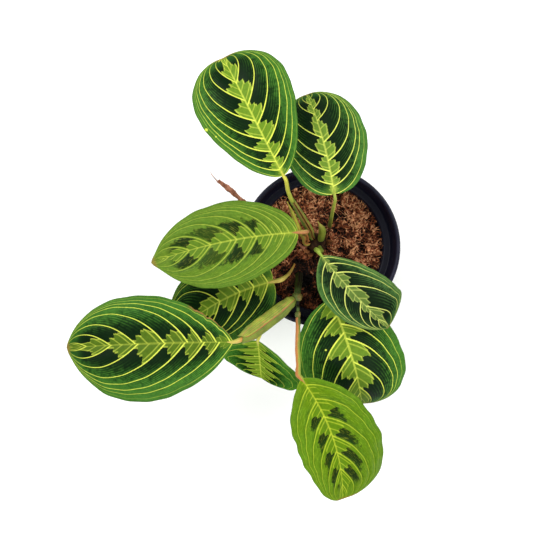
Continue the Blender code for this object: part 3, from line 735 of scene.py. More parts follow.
def blade_finish(name, leaf, look):
    """The upper face: pale veins, a lime fishbone figure and near-black patches."""
    graph = Graph(name)
    young = leaf.kind == "lime"
    across, out, along, count, within, vein = vein_masks(graph, look.vein_width * leaf.bold)
    level = graph.uv("lobes")[0]
    cell = graph.math("FLOOR", count)
    luck = graph.chance(cell, graph.math("SIGN", across), float(len(name)))
    grain = graph.speckle(900, 4)
    cloud = graph.speckle(70, 3)
    fine = graph.speckle(330, 3)

    rise = graph.math("SUBTRACT", level, cell)
    rise = graph.math("MULTIPLY_ADD", fine, 0.12, graph.math("SUBTRACT", rise, 0.06))
    first = graph.math("MULTIPLY_ADD", luck, 0.12, 0.68)
    second = graph.math("ADD", first, 0.2)
    tooth = graph.math("FRACT", graph.math("MULTIPLY_ADD", rise, 2.3, luck))
    edge = graph.math("MULTIPLY_ADD", graph.step(rise, 0.0, 0.8), 0.35, 0.6)
    edge = graph.math("MULTIPLY_ADD", tooth, 0.13, edge)
    edge = graph.math("MULTIPLY_ADD", graph.math("GREATER_THAN", rise, first), -0.45, edge)
    edge = graph.times(edge, graph.math("LESS_THAN", rise, second))
    flame = graph.times(graph.step(along, 0.78, 0.84), 0.5 if leaf.fishbone > 0.25 else 0.2)
    edge = graph.math("MAXIMUM", graph.math("MAXIMUM", edge, 0.17), flame)
    edge = graph.times(edge, graph.step(along, 0.1, 0.85, 1.2, 0.65), leaf.fishbone,
                       graph.math("MULTIPLY_ADD", luck, 0.3, 0.85))
    edge = graph.math("MULTIPLY_ADD", fine, 0.04, graph.math("ADD", edge, 0.015))
    beyond = graph.math("SUBTRACT", out, edge)
    lobe = graph.step(beyond, -0.012, 0.012, 1.0, 0.0)
    rim = graph.step(graph.math("ABSOLUTE", graph.math("ADD", beyond, 0.015)), 0.0, 0.025, 1.0, 0.0)

    ragged = graph.math("ADD", graph.times(fine, 0.4), graph.math("SUBTRACT", out, 0.2))
    if young:
        patch = graph.times(graph.step(ragged, leaf.reach - 0.1, leaf.reach, 1.0, 0.0),
                            graph.step(within, leaf.gap, leaf.gap + 0.06),
                            graph.step(within, 0.86, 0.94, 1.0, 0.0),
                            graph.step(along, 0.2, 0.3), graph.step(along, 0.84, 0.92, 1.0, 0.0),
                            graph.step(luck, 0.05, 0.2, 0.75, 1.0))
    else:
        patch = graph.times(graph.step(ragged, leaf.reach - 0.5, leaf.reach, 1.0, 0.08),
                            graph.step(along, 0.02, 0.14),
                            graph.step(along, 0.88, 0.98, 1.0, 0.2))
    streak = graph.math("COSINE", graph.math("MULTIPLY_ADD", count, 6 * tau,
                                             graph.times(cloud, 3.0)))
    streak = graph.times(graph.step(streak, -0.2, 0.9), graph.step(out, 0.2, 0.75),
                         graph.step(fine, 0.3, 0.55))
    run = graph.speckle(1.0, 3, vector=graph.join(graph.times(count, 16.0),
                                                  graph.times(along, 22.0), 0.0))
    thread = graph.times(graph.step(run, 0.48, 0.7), graph.step(out, 0.1, 0.7, 0.25, 1.0))

    field = look.young if young else look.field
    green = graph.mix(graph.step(out, 0.55, 1.0, 0.0, 0.2 if young else 0.4), field, look.margin)
    green = graph.mix(graph.times(thread, 0.3 if young else 0.45), green, look.margin)
    green = graph.mix(graph.times(graph.step(cloud, 0.45, 0.7), 0.25), green, look.margin)
    green = graph.mix(graph.times(patch, 0.93), green, look.dark)
    streak = graph.times(streak, graph.math("MULTIPLY_ADD", patch, -0.45, 1.0))
    green = graph.mix(graph.times(streak, 0.2 if young else 0.8), green, look.margin)
    green = graph.mix(graph.step(run, 0.3, 0.45, 0.45, 0.0), green,
                      look.field if young else look.dark)
    if young:
        # painted shade: each band between two veins darkens towards one of them, so the young blades
        # look pleated
        fold = graph.times(graph.step(within, 0.45, 1.0), graph.step(out, 0.05, 0.4), 0.3)
        green = graph.mix(fold, green, look.field)
        green = graph.mix(graph.step(run, 0.5, 0.75, 0.0, 0.22), green, look.vein)
    low, high = ([channel * leaf.lobes for channel in tint]
                 for tint in (look.lobe if young else look.lime, look.young))
    lime = graph.mix(graph.step(grain, 0.3, 0.7, 0.0, 0.7), low, high)
    veinlet = graph.math("ABSOLUTE", graph.math("SUBTRACT", graph.math(
        "FRACT", graph.times(within, 2.6)), 0.5))
    lime = graph.mix(graph.times(graph.step(veinlet, 0.0, 0.14, 1.0, 0.0), 0.35), lime, look.vein)
    green = graph.mix(lobe, green, lime)
    green = graph.mix(graph.times(rim, 0.12 if young else 0.35), green, look.vein)
    heart = graph.step(graph.math("MULTIPLY_ADD", out, 0.12, along), 0.02, 0.16, 1.0, 0.0)
    green = graph.mix(graph.times(heart, 0.75), green, look.lime)
    heart = graph.step(graph.math("MULTIPLY_ADD", out, 0.8, along), 0.0, 0.26, 1.0, 0.0)
    green = graph.mix(graph.times(heart, leaf.glow), green, look.vein)
    green = graph.mix(graph.times(vein, leaf.vivid), green, look.vein)
    rib = graph.step(out, graph.step(along, 0.0, 0.9, 0.012, 0.003),
                     graph.step(along, 0.0, 0.9, 0.045, 0.02), 1.0, 0.0)
    green = graph.mix(graph.times(rib, 0.2 + 0.5 * leaf.glow), green, look.vein)
    for spot_across, spot_along, radius in leaf.spots:
        aside = graph.times(graph.math("SUBTRACT", across, spot_across), leaf.width / 2)
        ahead = graph.times(graph.math("SUBTRACT", along, spot_along), leaf.length)
        away = graph.math("SQRT", graph.math("MULTIPLY_ADD", aside, aside,
                                             graph.times(ahead, ahead)))
        spot = graph.step(graph.math("MULTIPLY_ADD", fine, radius, away), radius, 1.6 * radius,
                          1.0, 0.0)
        green = graph.mix(graph.times(spot, 0.8), green, look.vein)
    green = graph.mix(graph.times(graph.step(along, 0.975, 0.995), 0.6), green, look.dry)
    scorched, place, spread = leaf.scorch
    if scorched:
        near = graph.math("ABSOLUTE", graph.math("SUBTRACT", along, place))
        dried = graph.times(graph.step(near, spread, 1.5 * spread, 1.0, 0.0),
                            graph.step(graph.times(across, float(scorched)), 0.93, 0.96),
                            graph.step(grain, 0.3, 0.5))
        green = graph.mix(dried, green, look.dry)
    mottle = graph.math("MULTIPLY_ADD", graph.speckle(420, 3, 0.7), 0.7, 0.65)
    shade = graph.node("HueSaturation", Saturation=leaf.richness, Color=green,
                       Value=graph.times(mottle, leaf.shade))
    height = graph.add(graph.times(vein, 0.6), graph.times(streak, 0.25))
    graph.bump(graph.add(height, graph.times(grain, 0.25)), 0.5, 0.0003)
    return graph.done(shade.outputs[0], graph.step(cloud, 0.3, 0.7, 0.4, 0.55), leaf.gloss)


def underside_finish(look):
    """The lower face: dull grey-green with its veins and midrib standing out."""
    graph = Graph("leaf_underside")
    _, out, _, _, _, vein = vein_masks(graph, look.vein_width)
    cloud = graph.speckle(60, 3)
    green = graph.mix(graph.times(cloud, 0.6), look.back, look.margin)
    green = graph.mix(graph.times(vein, 0.5), green, look.vein)
    rib = graph.step(out, 0.02, 0.06, 1.0, 0.0)
    green = graph.mix(graph.times(rib, 0.6), green, look.vein)
    graph.bump(graph.add(vein, graph.times(graph.speckle(900, 4), 0.3)), 0.5, 0.0004)
    return graph.done(green, 0.6, 0.2)


def stalk_finish(name, low, high, flank, amount=0.5, turn=0.0, wide=0.0, change=0.05):
    """A fleshy stalk: fine ribs, one colour turning into another, and a tinted flank."""
    graph = Graph(name)
    x, y, along = graph.attribute("section")
    angle = graph.math("ARCTAN2", y, x)
    rib = graph.step(graph.math("SINE", graph.times(angle, 9.0)), -0.4, 1.0)
    patch = graph.speckle(160, 4)
    wander = graph.math("MULTIPLY_ADD", patch, 0.5, graph.math("SUBTRACT", along, 0.25))
    tint = graph.mix(graph.step(wander, change, change + 0.55), low, high)
    side = graph.math("COSINE", graph.math("ADD", angle, turn))
    side = graph.math("ADD", graph.times(patch, 1.4), graph.math("ADD", side, wide - 0.7))
    tint = graph.mix(graph.times(graph.step(side, 0.2, 0.6), amount), tint, flank)
    tint = graph.mix(graph.times(rib, 0.18), tint, flank)
    grain = graph.speckle(1500, 3)
    tint = graph.mix(graph.step(grain, 0.35, 0.7, 0.0, 0.25), tint, low)
    graph.bump(graph.add(graph.times(rib, 0.8), graph.times(grain, 0.4)), 0.5, 0.0003)
    return graph.done(tint, graph.step(grain, 0.3, 0.7, 0.4, 0.6), 0.25)


def sheath_finish(name, body, shaded, edge, tip=None, border=0.05):
    """A ribbed sheath whose free edges are papery and brown."""
    graph = Graph(name)
    share, _, along = graph.attribute("section")
    from_edge = graph.math("MINIMUM", share, graph.math("SUBTRACT", 1.0, share))
    wander = graph.math("MULTIPLY_ADD", graph.speckle(170, 3), 0.08, -0.04)
    papery = graph.step(graph.math("ADD", from_edge, wander), border * 0.6, border * 1.6, 1.0, 0.0)
    rib = graph.step(graph.math("SINE", graph.times(share, 30 * tau)), -0.2, 1.0)
    tint = graph.mix(graph.times(graph.step(graph.speckle(90, 4), 0.4, 0.65), 0.6), body, shaded)
    tint = graph.mix(graph.times(rib, 0.35), tint, shaded)
    stripe = graph.speckle(1.0, 3, vector=graph.join(graph.times(share, 26.0),
                                                     graph.times(along, 5.0), 0.0))
    tint = graph.mix(graph.times(graph.step(stripe, 0.52, 0.66), 0.55), tint, edge)
    tint = graph.mix(graph.times(graph.step(share, 0.45, 0.75), 0.45), tint, shaded)
    tint = graph.mix(graph.times(papery, 0.9), tint, edge)
    if tip:
        tint = graph.mix(graph.step(along, 0.72, 0.95), tint, tip)
    graph.bump(graph.add(rib, graph.times(graph.speckle(1200, 3), 0.5)), 0.6, 0.0003)
    return graph.done(tint, 0.5, 0.25)


def woody_finish(name, base, dark, scale=500):
    graph = Graph(name)
    grain = graph.speckle(scale, 6, 0.7, graph.place((1, 1, 0.25)))
    tint = graph.mix(graph.step(grain, 0.35, 0.65), dark, base)
    graph.bump(grain, 0.9, 0.0006)
    return graph.done(tint, 0.85, 0.12)


def plastic_finish(look):
    """Black moulded plastic with a fine texture, dust and scuffs, and a painted highlight along the
    top of the rim.
    """
    graph = Graph("pot_plastic")
    dust = graph.speckle(45, 6, 0.65)
    scuff = graph.speckle(240, 5, 0.7, graph.place((1, 1, 0.15)))
    pale = [channel * 2 + 0.006 for channel in look.plastic]
    rim_highlight = [channel * 3 + 0.014 for channel in look.plastic]
    spot = graph.node("SeparateXYZ", Vector=graph.place())
    # painted highlight: the top of the rim turns paler, laid where the dust noise is high
    lip = graph.times(graph.step(spot.outputs[2], 90.5 * MM, 93 * MM), graph.step(dust, 0.3, 0.6))
    tint = graph.mix(graph.times(graph.step(dust, 0.5, 0.8), 0.35), look.plastic, pale)
    tint = graph.mix(graph.times(graph.step(scuff, 0.64, 0.75), 0.3), tint, pale)
    tint = graph.mix(graph.times(lip, 0.35), tint, rim_highlight)
    graph.bump(graph.add(graph.speckle(2600, 2), graph.times(scuff, 0.5)), 0.35, 0.0002)
    return graph.done(tint, graph.step(dust, 0.3, 0.7, look.roughness, look.roughness + 0.2), 0.17)


def coir_finish(look):
    """Each fibre's own tint is stored on it, and the bed's too, and holds painted light and shade:
    pieces lying higher are paler, the coir under the leaves darker, and the bed stays dark, darkest in
    its hollows.
    """
    graph = Graph("coir_soil")
    tint = graph.attribute("tint")[0]
    clod = graph.step(graph.speckle(150, 2), 0.36, 0.62, 0.3, 1.4)
    tint = graph.times(tint, clod, graph.step(graph.speckle(480, 2), 0.32, 0.68, 0.25, 1.9))
    grain = graph.speckle(800, 5, 0.7)
    brown = graph.mix(graph.step(tint, 0.0, 0.6), look.deep, look.coir)
    brown = graph.mix(graph.step(tint, 0.6, 1.2), brown, look.pale)
    brown = graph.mix(graph.times(graph.step(grain, 0.4, 0.7), 0.4), brown, look.deep)
    graph.bump(grain, 0.8, 0.0005)
    return graph.done(brown, 0.95, 0.25)


# ---------------------------------------------------------------- leaves
def vein_spacing(points, count):
    """Millimetres between neighbouring veins at each point of a grid of surface points."""
    du, dv = np.gradient(points, axis=1), np.gradient(points, axis=0)
    pu, pv = np.gradient(count, axis=1), np.gradient(count, axis=0)
    e, f, g = (du * du).sum(-1), (du * dv).sum(-1), (dv * dv).sum(-1)
    slope = (g * pu ** 2 - 2 * f * pu * pv + e * pv ** 2) / np.maximum(e * g - f * f, 1e-18)
    return np.clip(1 / MM / np.sqrt(np.maximum(slope, 1e-6)), 0.2, 20)


def make_blade(name, leaf, look):
    """A fine grid bent to the blade, quilted between its veins, then given thickness."""
    columns, rows = look.columns, look.rows
    across = -np.linspace(-1, 1, columns + 1)
    even = np.linspace(0, 1, rows + 1)
    along = ROW_CROWDING * (1 - np.cos(even * pi)) / 2 + (1 - ROW_CROWDING) * even
    s, t = np.meshgrid(across, along)
    counts, levels = {}, {}
    for side in (1, -1):
        start = vein_starts(leaf, side, np.abs(across), along)
        counts[side] = vein_count(leaf, side, start)
        levels[side] = vein_count(leaf, side, t * (1 - leaf.slant) + start * leaf.slant)
    count = np.where(s >= 0, counts[1], counts[-1])
    bulge = np.abs(np.sin(pi * count)) ** 0.7 * np.sin(pi * np.minimum(np.abs(s) * 1.05, 1)) ** 0.5
    bulge = bulge * np.clip(t * 8, 0, 1) * np.clip((1 - t) * 6, 0, 1)
    crease = -0.8 * np.exp(-(s / 0.05) ** 2) * (1 - t)
    wave = np.sin(t * leaf.waves * tau + 2 * s + len(name)) * np.abs(s) ** 3 * np.sin(pi * t)
    lift = look.quilting * (bulge * leaf.pleats + crease) + look.ripple * wave
    points = blade_points(leaf, s, t, lift)
    spacing = {side: vein_spacing(points, counts[side]) for side in (1, -1)}

    shell = bmesh.new()
    layers = [shell.loops.layers.uv.new(key) for key in ("blade", "veins", "lobes")]
    weights = shell.verts.layers.deform.new()
    bmesh.ops.create_grid(shell, x_segments=columns, y_segments=rows, size=1)
    grid = {}
    for vertex in shell.verts:
        column = round((vertex.co.x + 1) / 2 * columns)
        row = round((vertex.co.y + 1) / 2 * rows)
        grid[vertex] = row, column
        rib = exp(-(across[column] / 0.045) ** 2) * (1 - 0.85 * along[row])
        vertex[weights][0] = look.thickness / look.midrib * (1 - rib) + rib
    for face in shell.faces:
        middle = sum(grid[vertex][1] for vertex in face.verts) / 4
        side = 1 if middle < columns / 2 else -1
        for corner in face.loops:
            row, column = grid[corner.vert]
            corner[layers[0]].uv = ((across[column] + 1) / 2, along[row])
            corner[layers[1]].uv = (counts[side][row, column], spacing[side][row, column])
            corner[layers[2]].uv = (levels[side][row, column], 0)
    for vertex, (row, column) in grid.items():
        vertex.co = points[row, column]
    for end in (0, rows):
        pole = [vertex for vertex, (row, _) in grid.items() if row == end]
        bmesh.ops.pointmerge(shell, verts=pole, merge_co=points[end, columns // 2])
        grid = {vertex: place for vertex, place in grid.items() if vertex.is_valid}
    obj = add_object(name, shell)
    group = obj.vertex_groups.new(name="thickness")
    solidify = obj.modifiers.new("thickness", "SOLIDIFY")
    solidify.thickness = look.midrib
    solidify.offset = -1
    solidify.vertex_group = group.name
    solidify.material_offset = 1
    solidify.material_offset_rim = 1
    return obj


class PRAYERPLANT_OT_leaves(bpy.types.Operator):
    """Make the nine patterned leaf blades"""
    bl_idname = "prayer_plant.leaves"
    bl_label = "Leaves"

    def execute(self, context):
        look = settings(context, "plant_leaves")
        under = underside_finish(look)
        for name, leaf in LEAVES.items():
            blade = make_blade(f"blade_{name}", leaf, look)
            blade.data.materials.append(blade_finish(f"face_{name}", leaf, look))
            blade.data.materials.append(under)
            finish_piece(blade, "leaf_lime" if leaf.kind == "lime" else "leaf_dark", name)
        return {"FINISHED"}


# ---------------------------------------------------------------- stalks and sheaths
def stalk_finishes(look):
    return {
        "stalk_yellow": stalk_finish("stalk_yellow", look.green, look.yellow, look.olive, 0.35),
        "stalk_green": stalk_finish("stalk_green", look.olive, look.green, look.yellow, 0.5),
        "stalk_lime": stalk_finish("stalk_lime", look.olive, look.lime, look.green, 0.5, 1.0),
        "stalk_brown": stalk_finish("stalk_brown", look.bark, look.papery, look.green, 0.4),
        "knob": stalk_finish("knob", look.stem, look.olive, look.papery, 0.3),
        "stalk_tan": stalk_finish("stalk_tan", look.rust, look.tan, look.green, 0.5),
        "stalk_rust": stalk_finish("stalk_rust", look.stem, look.green, look.rust, 0.9, 0.45,
                                   0.0),
        # painted shade: the branch stems stand in the leaves' shade, so they run from near-black at
        # the foot into the shaded olive
        "stem_green": stalk_finish("stem_green", look.dark_bark_and_shade, look.olive, look.stem, 0.6,
                                   change=0.45),
        "sheath_green": sheath_finish("sheath_green", look.green, look.stem, look.papery,
                                      border=0.03),
        "sheath_tan": sheath_finish("sheath_tan", look.papery, look.green, look.rust),
        "shoot_sheath": sheath_finish("shoot_sheath", look.sheath, look.stem, look.papery,
                                      border=0.016),
        "spear_green": sheath_finish("spear_green", look.yellow, look.green, look.papery,
                                     border=0.02),
        "bract_green": sheath_finish("bract_green", look.sheath, look.olive, look.lime,
                                     look.tan),
    }


SLOT_OF_FINISH = {"stalk_lime": "stalk_green", "stalk_rust": "stalk_tan",
                  "stalk_brown": "stalk_yellow",
                  "shoot_sheath": "sheath_green", "spear_green": "sheath_green",
                  "bract_green": "sheath_green"}


class PRAYERPLANT_OT_stalks(bpy.types.Operator):
    """Make the leaf stalks, the branch stems and the knobs they grow from"""
    bl_idname = "prayer_plant.stalks"
    bl_label = "Stalks and stems"

    def execute(self, context):
        look = settings(context, "plant_stalks")
        finishes = stalk_finishes(look)
        for number, (name, stem) in enumerate(STEMS.items()):
            shell = new_shell()
            tube(shell, stem.route, stem.radii, look.sides, look.steps)
            bmesh.ops.recalc_face_normals(shell, faces=shell.faces)
            roughen(shell, 0.12 * MM, 400, number)
            piece = add_object(f"fleshy_{name}", shell, finishes[stem.finish])
            finish_piece(piece, SLOT_OF_FINISH.get(stem.finish, stem.finish), name)
        for name, knob, finish, slot in (
                ("shoot_node", SHOOT_NODE, finishes["knob"], "sheath_tan"),
                ("front_node", FRONT_NODE, finishes["knob"], "stalk_green")):
            shell = new_shell()
            made = bmesh.ops.create_icosphere(shell, subdivisions=4, radius=1)["verts"]
            layer = shell.verts.layers.float_vector.get("section")
            for vertex in made:
                vertex[layer] = (vertex.co.x, vertex.co.y, (vertex.co.z + 1) / 2)
            bmesh.ops.transform(
                shell, verts=made, matrix=Matrix.Translation(Vector(knob.centre) * MM)
                @ Matrix.Diagonal((*(Vector(knob.radii) * KNOB_FIT * MM), 1)))
            roughen(shell, 0.9 * MM, 260)
            finish_piece(add_object(f"swollen_{name}", shell, finish), slot, name)
        return {"FINISHED"}


class PRAYERPLANT_OT_sheaths(bpy.types.Operator):
    """Make the rolled sheaths, the young rolled leaf and the bract"""
    bl_idname = "prayer_plant.sheaths"
    bl_label = "Sheaths"

    def execute(self, context):
        look = settings(context, "plant_stalks")
        finishes = stalk_finishes(look)
        for name, wrap in WRAPS.items():
            shell = rolled_strip(wrap, look.steps)
            roughen(shell, 0.15 * MM, 500)
            piece = add_object(f"rolled_{name}", shell, finishes[wrap.finish])
            wall = piece.modifiers.new("wall", "SOLIDIFY")
            wall.thickness, wall.offset = look.wall, -1
            finish_piece(piece, SLOT_OF_FINISH.get(wrap.finish, wrap.finish), name)
        return {"FINISHED"}


class PRAYERPLANT_OT_dry_parts(bpy.types.Operator):
    """Make the crown with its dry scales, and the dry twig with its frayed end"""
    bl_idname = "prayer_plant.dry_parts"
    bl_label = "Crown and dry twig"

    def execute(self, context):
        look = settings(context, "plant_stalks")
        rng = np.random.default_rng(SEED)
        shell = new_shell()
        made = bmesh.ops.create_icosphere(shell, subdivisions=5, radius=1)["verts"]
        bmesh.ops.transform(shell, verts=made, matrix=Matrix.Translation(
            Vector(CROWN.centre) * MM) @ Matrix.Diagonal((*(Vector(CROWN.radii) * MM), 1)))
        roughen(shell, 2.2 * MM, 170)
        roughen(shell, 0.6 * MM, 600)
        close_up(shell)
        piece = add_object("lumpy_crown", shell, woody_finish("crown", look.crown, look.dark_bark_and_shade))
        finish_piece(piece, "crown_brown", "crown")
        scales = woody_finish("dry_scale", look.papery, look.bark, 700)
        for number in range(7):
            azimuth = number * 360 / 7 + rng.uniform(-18, 18)
            bottom, top = stub(CROWN, azimuth, rng.uniform(-4, 20), rng.uniform(3, 6))
            top = (top[0], top[1], top[2] + rng.uniform(4, 10))
            wrap = Wrap([bottom, tuple((Vector(bottom) + Vector(top)) / 2 + Vector((0, 0, 1))), top],
                        [2.4, 2.2, 0.3], 0.5, "", 100, 260)
            scale = add_object(f"crown_scale_{number + 1}", rolled_strip(wrap, 6, 12), scales)
            wall = scale.modifiers.new("wall", "SOLIDIFY")
            wall.thickness, wall.offset = look.wall, -1
            finish_piece(scale, "crown_brown", "crown")

        shell = new_shell()
        tube(shell, TWIG_ROUTE, TWIG_RADII, look.sides, 14)
        close_up(shell)
        roughen(shell, 0.9 * MM, 260)
        roughen(shell, 0.5 * MM, 900)
        end = Vector(TWIG_ROUTE[-1])
        for number in range(9):
            away = Vector((rng.uniform(-1, 0.1), rng.uniform(-0.2, 1), rng.uniform(-0.6, 0.6)))
            reach = 3.5 if number else 12
            start = end + Vector((rng.uniform(0, 3), rng.uniform(-2, 0), 0))
            away = away if number else Vector((-0.6, 0.75, 0.05))
            bend = Vector((rng.uniform(-0.3, 0.3), rng.uniform(-0.3, 0.3), 0.3))
            tube(shell, [start, start + (away + bend) * reach / 2, start + away * reach],
                 [0.45, 0.3, 0.12], 6, 4)
        close_up(shell)
        twig = add_object("frayed_twig", shell, woody_finish("dry_twig", look.twig, look.bark, 380))
        finish_piece(twig, "dry_twig", "dry_twig")
        return {"FINISHED"}


# ---------------------------------------------------------------- pot
def arc(radius, height, size, start, stop, count):
    """Points of a circular arc in a profile, from one angle to another in degrees."""
    return [(radius + size * cos(radians(start + (stop - start) * i / count)),
             height + size * sin(radians(start + (stop - start) * i / count)))
            for i in range(count + 1)]


def turned(profile, steps):
    """Spin a closed outline of (radius, height) in millimetres round the upright axis."""
    shell = bmesh.new()
    chain = [shell.verts.new((radius * MM, 0, height * MM)) for radius, height in profile]
    edges = [shell.edges.new(pair) for pair in zip(chain, chain[1:])]
    bmesh.ops.spin(shell, geom=chain + edges, cent=(0, 0, 0), axis=(0, 0, 1), angle=tau,
                   steps=steps, use_merge=True, use_duplicate=False)
    close_up(shell)
    return shell


class PRAYERPLANT_OT_pot(bpy.types.Operator):
    """Make the black nursery pot with its rolled lip, stepped wall and drainage holes"""
    bl_idname = "prayer_plant.pot"
    bl_label = "Nursery pot"

    def execute(self, context):
        look = settings(context, "plant_pot")
        profile = [
            (0, 2), (18, 2), (36.6, 2), *arc(36.6, 4.6, 2.6, -90, -5, 5), (42, 30), (45.6, 56),
            (48.6, 79.6), *arc(50.0, 79.6, 1.2, 180, 90, 4), *arc(53.2, 82.0, 1.2, -90, -8, 4),
            (54.9, 84.0), (55.9, 88), (57.0, 92.4), *arc(58.6, 92.4, 1.6, 178, -60, 14),
            (58.9, 90.6), (58.7, 86), (58.6, 81.4), *arc(57.9, 81.2, 0.7, 0, -90, 3),
            (55.6, 80.5), (53.6, 80.4), *arc(52.6, 79.4, 1.0, 90, 176, 3), (50.9, 76.0),
            (47.6, 51), (44.2, 26), (41.3, 4), *arc(39.9, 1.6, 1.6, -5, -90, 4), (36.5, 0),
            (34.6, 0.7), (30, 0.8), (15, 0.8), (0, 0.8)]
        pot = add_object("moulded_pot", turned(profile, look.steps), plastic_finish(look))
        holes = bmesh.new()
        for k in range(DRAIN_HOLES):
            turn = Matrix.Rotation(tau * (k + 0.5) / DRAIN_HOLES, 4, "Z")
            bmesh.ops.create_cone(
                holes, cap_ends=True, segments=28, radius1=DRAIN_RADIUS, radius2=DRAIN_RADIUS,
                depth=12 * MM, matrix=turn @ Matrix.Translation((DRAIN_CIRCLE, 0, 0)))
        cutter = add_object("drain_cutter", holes)
        drill = pot.modifiers.new("drain", "BOOLEAN")
        drill.operation, drill.solver, drill.object = "DIFFERENCE", "EXACT", cutter
        context.view_layer.update()
        drilled = pot.evaluated_get(context.evaluated_depsgraph_get())
        pot_mesh = bpy.data.meshes.new_from_object(drilled)
        pot.modifiers.clear()
        pot.data = pot_mesh
        bpy.data.objects.remove(cutter)
        pot_mesh.shade_smooth()
        pot_mesh.set_sharp_from_angle(angle=radians(50))
        finish_piece(pot, "pot_plastic", "nursery_pot")
        return {"FINISHED"}


# ---------------------------------------------------------------- soil
def soil_height(x, y, lump):
    """Height of the lumpy soil surface at a place."""
    spot = Vector((x, y, 0))
    broad = noise.noise(spot * 50 + Vector((3, 1, 5)))
    clod = noise.noise(spot * 135 + Vector((9, 4, 2)))
    fine = noise.noise(spot * 330)
    return SOIL_LEVEL + lump * (0.3 * broad + 0.5 * clod + 0.22 * fine)


def fibre_shapes(rng, count=14):
    """A few curved fibre meshes lying along X, a couple of dozen faces each."""
    shapes = []
    for number in range(count):
        shell = new_shell()
        reach = 1.0
        bow = rng.uniform(-0.35, 0.35)
        hook = rng.uniform(-0.25, 0.25)
        sag = rng.uniform(-0.12, 0.12)
        points = [(reach * (u - 0.5), bow * (0.25 - (u - 0.5) ** 2) * 2 + hook * (u - 0.5) ** 3 * 4,
                   sag * sin(pi * u)) for u in (0, 0.33, 0.66, 1)]
        tube(shell, [Vector(point) / MM for point in points], [28, 34, 30, 14], 4, 1)
        close_up(shell)
        mesh = bpy.data.meshes.new(f"fibre_{number}")
        shell.to_mesh(mesh)
        shell.free()
        shapes.append(mesh)
    return shapes


def crumb_shapes(rng, count=8):
    shapes = []
    for number in range(count):
        shell = new_shell()
        bmesh.ops.create_icosphere(shell, subdivisions=1, radius=1)
        for vertex in shell.verts:
            vertex.co *= 1 + rng.uniform(-0.35, 0.35)
        mesh = bpy.data.meshes.new(f"crumb_{number}")
        shell.to_mesh(mesh)
        shell.free()
        shapes.append(mesh)
    return shapes


def scatter(context, name, shapes, spots, material):
    """Copies of small shapes joined into one mesh, each with its own tint stored on it."""
    copies, tints = [], []
    for number, (matrix, tint) in enumerate(spots):
        copy = bpy.data.objects.new(f"{name}_{number}", shapes[number % len(shapes)])
        copy.matrix_world = matrix
        context.scene.collection.objects.link(copy)
        copies.append(copy)
        tints += [tint] * len(copy.data.vertices)
    base = bpy.data.objects.new(name, bpy.data.meshes.new(name))
    context.scene.collection.objects.link(base)
    context.view_layer.update()
    with context.temp_override(active_object=base, object=base, selected_objects=[base, *copies],
                               selected_editable_objects=[base, *copies]):
        bpy.ops.object.join()
    layer = base.data.attributes.new("tint", "FLOAT", "POINT")
    layer.data.foreach_set("value", tints)
    base.data.materials.clear()
    base.data.materials.append(material)
    base.data.shade_smooth()
    for shape in shapes:
        bpy.data.meshes.remove(shape)
    return base


